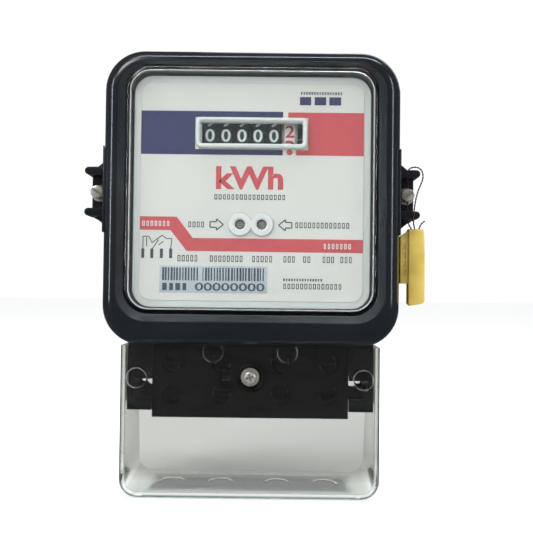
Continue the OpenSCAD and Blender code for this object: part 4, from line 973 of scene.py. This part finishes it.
def lathe(name, x, y, profile, sides=48):
    """A part turned about an axis that stands out of the wall: the profile gives radius and height."""
    rings = [[(x + r * math.cos(2 * math.pi * k / sides), y + r * math.sin(2 * math.pi * k / sides), z)
              for k in range(sides)] for r, z in profile]
    return loft(name, rings)


def metal(name, low, high, smooth, rough, scale=700.0):
    """A bare or plated metal: two close tones, with duller worn patches and a fine relief."""
    made, tree = fresh(name)
    where = add(tree, "ShaderNodeTexCoord")
    wear = add(tree, "ShaderNodeTexNoise", {"Vector": where.outputs["Object"], "Scale": scale,
                                            "Detail": 5.0})
    tint = add(tree, "ShaderNodeValToRGB", {"Fac": wear.outputs["Fac"]})
    tint.color_ramp.elements[0].position = 0.3
    tint.color_ramp.elements[0].color = paint(low)
    tint.color_ramp.elements[1].position = 0.7
    tint.color_ramp.elements[1].color = paint(high)
    dull = add(tree, "ShaderNodeMapRange", {"Value": wear.outputs["Fac"], "From Min": 0.3, "From Max": 0.7,
                                            "To Min": rough, "To Max": smooth})
    ripple = add(tree, "ShaderNodeBump", {"Height": wear.outputs["Fac"], "Strength": 0.2,
                                          "Distance": 0.0001})
    coat = add(tree, "ShaderNodeBsdfPrincipled", {"Base Color": tint.outputs["Color"], "Metallic": 0.62,
                                                 "Roughness": dull.outputs[0], "Normal": ripple.outputs[0]})
    add(tree, "ShaderNodeOutputMaterial", {"Surface": coat.outputs["BSDF"]})
    return made


# Nickel plate: pale and slightly warm, with fine turning marks and worn, duller patches
nickel = metal("nickel_plated_steel", "#A79F92", "#DAD6CD", 0.22, 0.42)
for side, hand, body in ((-1, "left", "ear_screw_left"), (1, "right", "front_cover")):
    x = side * EAR[0]
    profile = [(1.1, 23.5), (1.5, 24.0), (1.5, HEAD_LOW - 0.02), (2.3, HEAD_LOW), (HEAD_R, HEAD_LOW + 0.2),
               (HEAD_R, HEAD_HIGH - 0.5), (2.3, HEAD_HIGH - 0.15), (1.9, HEAD_HIGH)]
    screw = lathe(f"sealing_screw_{hand}", x, EAR[1], profile)
    turn = math.radians(28 if side > 0 else -35)
    blade = [(-4, -0.45), (4, -0.45), (4, 0.45), (-4, 0.45)]
    blade = [(x + a * math.cos(turn) - b * math.sin(turn), EAR[1] + a * math.sin(turn) + b * math.cos(turn))
             for a, b in blade]
    carve(screw, prism("slot", blade, HEAD_HIGH - 1.2, HEAD_HIGH + 1, 0))
    carve(screw, rod("cross_hole", (x, EAR[1] - 5, EAR[2]), (x, EAR[1] + 5, EAR[2]), 0.7, 20))
    settle(screw, nickel, body, [f"ear_screw_{hand}"])
washers = None
for side in (-1, 1):
    x = side * EAR[0]
    ring = lathe("ear_washer_ring", x, EAR[1], [(3.1, 36.8), (3.3, 37.0), (3.3, 37.4), (3.1, 37.6)])
    carve(ring, rod("washer_hole", (x, EAR[1], 35), (x, EAR[1], 39), 1.7, 40))
    washers = ring if washers is None else carve(washers, ring, "UNION")
settle(washers, nickel, "front_cover", ["ear_washers"])

# ---- Rear base ----
# The black back half of the housing, moulded in the same resin with a finer satin skin. Its rim
# fits inside the front frame, and its lower bay carries the terminal block.


def soften(node, material, body, width=0.25, corner=32):
    """A copy of a CAD part whose sharp edges are rounded by the given radius, which takes its place."""
    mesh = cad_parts[node].data.copy()
    work = bmesh.new()
    work.from_mesh(mesh)
    bmesh.ops.remove_doubles(work, verts=work.verts, dist=1e-6)
    bmesh.ops.dissolve_limit(work, angle_limit=math.radians(0.5), verts=work.verts, edges=work.edges)
    work.to_mesh(mesh)
    work.free()
    obj = placed(node + "_softened", mesh)
    bevel = obj.modifiers.new("edges", "BEVEL")
    bevel.width, bevel.segments, bevel.limit_method = width * MM, 2, "ANGLE"
    bevel.angle_limit = math.radians(50)
    made = baked(obj)
    obj.modifiers.clear()
    obj.data = made
    bpy.data.meshes.remove(mesh)
    return settle(obj, material, body, [node], corner)


def carried(material, *nodes):
    """Gives CAD parts that stay as they are their material."""
    for node in nodes:
        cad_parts[node].data.materials.clear()
        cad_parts[node].data.materials.append(material)


base_satin = matt_print("satin_black_polycarbonate", "#0D0F11", "#131618", 0.42, 400.0, 0.25)
soften("rear_base", base_satin, "meter_base", 0.3)
# The steel hook plate that hangs the meter, and its rivets: bright zinc with a cold blue cast
zinc = metal("bright_zinc_plated_steel", "#9FA3A6", "#C9CDD0", 0.3, 0.5, 400.0)
soften("wall_hook", zinc, "meter_base", 0.2)
carried(zinc, "hook_rivets", "board_screws")
# Turned brass inserts pressed into the mouldings: yellow, with machining marks
brass = metal("machined_brass", "#A98C45", "#CDB068", 0.24, 0.4, 900.0)
carried(brass, "brass_inserts")
# The window's gasket: black rubber with no shine
rubber = matt_print("black_gasket_rubber", "#0E0E0E", "#191918", 0.85, 600.0)
carried(rubber, "window_gasket")

# ---- Terminal block ----
# One block of black phenolic moulding compound. Four brass terminals lie in it, each with two
# clamp screws in blackened steel at the bottom of deep wells.
phenolic = matt_print("black_phenolic_moulding", "#0A0806", "#0F0C0A", 0.6, 900.0, 0.12)
soften("terminal_block", phenolic, "meter_base", 0.25)
for k in range(1, 5):
    soften(f"terminal_{k}", brass, "meter_base", 0.2)
# Blackened steel: the screws' oxide skin, with a dull brown shine
oxide = metal("blackened_steel", "#120F0D", "#241E1A", 0.4, 0.6, 500.0)
for k in range(1, 9):
    soften(f"clamp_screw_{k}", oxide, f"clamp_screw_{k}", 0.2)
# Rolled manganin strip, coppery and dull, and the red-brown leads that sense the drop across it
manganin = metal("rolled_manganin", "#8E5B3A", "#B47F58", 0.35, 0.5, 500.0)
soften("current_shunt", manganin, "meter_base", 0.15)
lead_skin = matt_print("red_brown_lead_insulation", "#6A241D", "#7E3127", 0.5, 500.0)
carried(lead_skin, "sense_leads")

# ---- Register train ----
# The drums' cheeks, shafts, transfer pinions and drive gear. Only the ends of the gears show,
# through the gap beside the fast drum.
cheek_white = matt_print("white_register_cheek", "#CFD0CB", "#DDDED9", 0.45, 500.0)
soften("register_frame", cheek_white, "meter_base", 0.3)
ground_steel = metal("ground_steel_shaft", "#A2A6AA", "#C6CACD", 0.15, 0.3, 900.0)
carried(ground_steel, "drum_shaft", "pinion_shaft", "motor_stator")
# Acetal gears: milky, waxy and slightly warm
acetal_gear = matt_print("natural_acetal_gears", "#C9C5B6", "#D9D5C8", 0.4, 500.0)
carried(acetal_gear, *[f"transfer_pinion_{k}" for k in range(1, 6)], "drive_gear")

# ---- Drive motor ----
# A small stepper that turns the register through the drive gear: a ferrite rotor with its pinion,
# a ground pole plate and a coil of enamelled wire. It is seen only with the front cover off.
ferrite = matt_print("dark_ferrite", "#2C2D2F", "#3A3B3D", 0.6, 800.0)
carried(ferrite, "motor_rotor")
enamel = metal("enamelled_copper_winding", "#7E3A1C", "#A8552C", 0.3, 0.45, 1500.0)
carried(enamel, "motor_coil")

# ---- Circuit board ----
# Glass-fibre board under green solder mask, with its leaded parts: a yellow film capacitor, an
# electrolytic one in a dark blue sleeve, a blue varistor, black chips and resistors, and two lamps.
mask = matt_print("green_solder_mask", "#1E5A2E", "#2A6B3A", 0.35, 300.0)
carried(mask, "circuit_board")
box_yellow = matt_print("yellow_capacitor_box", "#BFA42E", "#D0B63E", 0.4, 400.0)
soften("film_capacitor", box_yellow, "meter_base", 0.5)
sleeve = matt_print("dark_blue_shrink_sleeve", "#1C2A4C", "#27375E", 0.3, 400.0)
soften("electrolytic_capacitor", sleeve, "meter_base", 0.5)
epoxy_blue = matt_print("blue_dipped_epoxy", "#244F86", "#2F5F9A", 0.3, 400.0)
soften("varistor", epoxy_blue, "meter_base", 0.8)
epoxy_black = matt_print("black_moulded_epoxy", "#17191B", "#232629", 0.55, 700.0)
carried(epoxy_black, "board_parts")
# The lamps are water-clear when unlit, so they look a dull grey-beige in their holes
lamp_clear = matt_print("unlit_clear_lamp", "#8E8A80", "#B9B5AA", 0.25, 900.0)
carried(lamp_clear, "pulse_led", "reverse_led")

# ---- Terminal cover ----
# A clear box of polycarbonate over the terminals, open at its back and top. A screw sits in a
# round recess, beside a small moulded eye for a seal, and the mould's ejector pins left rings.
COVER_X, COVER_TOP, COVER_LOW, COVER_Z, COVER_WALL, COVER_R = 49.5, -26.8, -84.4, 48.0, 1.6, 6.7
BOSS_Y, WASHER_LOW, WASHER_HIGH = -38.6, 45.0, 45.7
EJECTORS, EJECTOR_R = ((43.3, BOSS_Y - 0.6), (14.2, -29.1)), 3.8


def cover_line(inset, z, steps=10, lift=0.0):
    """The cover's outline at one height: straight at its top, round at its lower corners."""
    x, low, r = COVER_X - inset, COVER_LOW + inset, COVER_R - inset
    ring = []
    for k in range(steps + 1):
        turn = math.radians(-180 + 90 * k / steps)
        ring.append((-x + r + r * math.cos(turn), low + r + r * math.sin(turn), z))
    for k in range(steps + 1):
        turn = math.radians(-90 + 90 * k / steps)
        ring.append((x - r + r * math.cos(turn), low + r + r * math.sin(turn), z))
    return ring + [(x, COVER_TOP + lift, z), (-x, COVER_TOP + lift, z)]


rings = [cover_line(0.25, 1.0), cover_line(0, 1.25)]
SOFT = 1.1
for k in range(6):
    t = math.pi / 2 * k / 5
    rings.append(cover_line(SOFT * (1 - math.cos(t)), COVER_Z - SOFT * (1 - math.sin(t))))
cover = loft("terminal_cover_moulding", rings)
inner = [cover_line(COVER_WALL, 0, lift=5)]
for k in range(5):
    t = math.pi / 2 * k / 4
    inner.append(cover_line(COVER_WALL + 0.5 * (1 - math.cos(t)),
                            COVER_Z - COVER_WALL - 0.5 * (1 - math.sin(t)), lift=5))
carve(cover, loft("cover_room", inner))
boss = lathe("cover_boss", 0, BOSS_Y, [(5.7, 41.4), (6.0, 41.7), (6.0, 47.2)])
carve(cover, boss, "UNION")
carve(cover, lathe("screw_recess", 0, BOSS_Y, [(4.6, WASHER_LOW), (4.7, 45.2), (4.8, 47.7), (5.2, 48.3)]))
carve(cover, rod("screw_way", (0, BOSS_Y, 40), (0, BOSS_Y, 50), 2.2))
eye = prism("seal_eye", [(-10.3, BOSS_Y - 3.6), (-7.3, BOSS_Y - 3.6), (-7.3, BOSS_Y + 3.6),
                         (-10.3, BOSS_Y + 3.6)], 46.9, 52.0, 0.6, 4)
carve(cover, eye, "UNION")
carve(cover, rod("eye_hole", (-12, BOSS_Y, 49.9), (-5, BOSS_Y, 49.9), 0.9, 24))
for x, y in EJECTORS:
    for side in (-1, 1):
        mark = lathe("ejector_mark", side * x, y, [(EJECTOR_R, 45.0), (EJECTOR_R, 46.52),
                                                   (EJECTOR_R - 0.15, 46.6)])
        carve(cover, mark)

# Four shallow oval knock-outs for the wires in the bottom wall
for x in (-31.6, -11.9, 11.0, 30.1):
    oval = [[(x + 5.2 * math.cos(2 * math.pi * k / 40), y, 26 + 9 * math.sin(2 * math.pi * k / 40))
             for k in range(40)]
            for y in (COVER_LOW + COVER_WALL - 0.35, COVER_LOW + COVER_WALL + 1)]
    carve(cover, loft("knock_out", oval))

# Clear polycarbonate of the cover: slightly greyer and hazier than the window, scuffed in use. Its
# bottom wall is painted lighter, as painted light; a painted shade darkens its outline along the sides
# and bottom; and the ejector rings' rims carry a painted highlight, broken up at random
cover_pc, tree = fresh("clear_polycarbonate_cover")
where = add(tree, "ShaderNodeTexCoord")
wave = add(tree, "ShaderNodeTexNoise", {"Vector": where.outputs["Object"], "Scale": 45.0, "Detail": 2.0})
ripple = add(tree, "ShaderNodeBump", {"Height": wave.outputs["Fac"], "Strength": 0.03, "Distance": 0.0006})
place = add(tree, "ShaderNodeSeparateXYZ", {"Vector": where.outputs["Object"]})
# Painted light: the resin's colour turns lighter towards the bottom wall
painted_lighter_bottom = add(tree, "ShaderNodeMapRange", {"Value": place.outputs["Z"], "From Min": (COVER_LOW + 11) * MM,
                                         "From Max": (COVER_LOW + 6) * MM})
tint = add(tree, "ShaderNodeValToRGB", {"Fac": painted_lighter_bottom.outputs[0]})
tint.color_ramp.elements[0].color = paint("#ABABA5")
tint.color_ramp.elements[1].color = paint("#E6E9E5")
# Painted shade: a dark grey-green band painted along the sides and bottom of the cover's front
aside = add(tree, "ShaderNodeMath", {0: place.outputs["X"]}, operation="ABSOLUTE")
face = add(tree, "ShaderNodeCombineXYZ", {"X": aside.outputs[0], "Z": place.outputs["Z"]})
past = add(tree, "ShaderNodeVectorMath", {0: face.outputs[0], 1: (1, 0, -1),
                                          2: ((COVER_R - COVER_X) * MM, 0, (COVER_LOW + COVER_R) * MM)},
           operation="MULTIPLY_ADD")
corner = add(tree, "ShaderNodeVectorMath", {0: past.outputs[0], 1: (0, 0, 0)}, operation="MAXIMUM")
reach = add(tree, "ShaderNodeVectorMath", {0: corner.outputs[0]}, operation="LENGTH")
outline = add(tree, "ShaderNodeMapRange", {"Value": reach.outputs["Value"],
                                           "From Min": (COVER_R - 1.3) * MM,
                                           "From Max": (COVER_R - 0.7) * MM})
front = add(tree, "ShaderNodeMath", {0: place.outputs["Y"], 1: (2 - COVER_Z) * MM}, operation="LESS_THAN")
edge = add(tree, "ShaderNodeMath", {0: outline.outputs[0], 1: front.outputs[0]}, operation="MULTIPLY")
shade = add(tree, "ShaderNodeMix", {0: edge.outputs[0], 6: tint.outputs["Color"], 7: paint("#4A5650")},
            data_type="RGBA")
resin = add(tree, "ShaderNodeBsdfPrincipled", {"Base Color": shade.outputs[2], "Transmission Weight": 1.0,
                                              "Roughness": 0.02, "IOR": 1.3, "Normal": ripple.outputs[0]})
# Painted highlight: a white matt skin mixed in along each ejector ring's rim, broken up at random
side_ring, top_ring = [add(tree, "ShaderNodeVectorMath", {0: face.outputs[0], 1: (x * MM, 0, y * MM)},
                           operation="DISTANCE") for x, y in EJECTORS]
near = add(tree, "ShaderNodeMath", {0: side_ring.outputs["Value"], 1: top_ring.outputs["Value"]},
           operation="MINIMUM")
rim = add(tree, "ShaderNodeMath", {0: near.outputs[0], 1: EJECTOR_R * MM, 2: 0.22 * MM},
          operation="COMPARE")
highlight_breakup = add(tree, "ShaderNodeTexNoise", {"Vector": where.outputs["Object"], "Scale": 260.0, "Detail": 1.0})
worn = add(tree, "ShaderNodeMapRange", {"Value": highlight_breakup.outputs["Fac"], "From Min": 0.35, "From Max": 0.7,
                                        "To Max": 0.2})
painted_rim_highlight = add(tree, "ShaderNodeMath", {0: rim.outputs[0], 1: worn.outputs[0]}, operation="MULTIPLY")
painted_highlight_white = add(tree, "ShaderNodeBsdfDiffuse", {"Color": paint("#DCE0DE")})
moulded = add(tree, "ShaderNodeMixShader", {0: painted_rim_highlight.outputs[0], 1: resin.outputs[0], 2: painted_highlight_white.outputs[0]})
let_light_pass(tree, moulded, "#E4E7E4")
settle(cover, cover_pc, "terminal_cover", ["terminal_cover"], 35)

# ---- Cover screw ----
# A pan-head screw with a cross recess holds the terminal cover, on a plain washer in its recess.
screw_line = [(1.5, 33.6), (1.95, 34.2), (1.95, WASHER_HIGH - 0.02), (2.2, WASHER_HIGH), (2.4, 45.95),
              (2.4, 46.9), (2.1, 47.5), (1.5, 47.85), (0.6, 47.9)]
screw = lathe("cover_fixing_screw", 0, BOSS_Y, screw_line)
for turn in (20, 110):
    a = math.radians(turn)
    cut = [(u * math.cos(a) - v * math.sin(a), BOSS_Y + u * math.sin(a) + v * math.cos(a))
           for u, v in ((-1.6, -0.38), (1.6, -0.38), (1.6, 0.38), (-1.6, 0.38))]
    carve(screw, prism("cross_slot", cut, 46.5, 49, 0))
settle(screw, nickel, "cover_screw", ["cover_screw"])
ring = lathe("cover_screw_washer", 0, BOSS_Y, [(3.35, WASHER_LOW), (3.5, WASHER_LOW + 0.12),
                                               (3.5, WASHER_HIGH - 0.15), (3.35, WASHER_HIGH)])
carve(ring, rod("washer_hole", (0, BOSS_Y, 44), (0, BOSS_Y, 47), 2.1, 40))
settle(ring, nickel, "terminal_cover", ["cover_washer"])
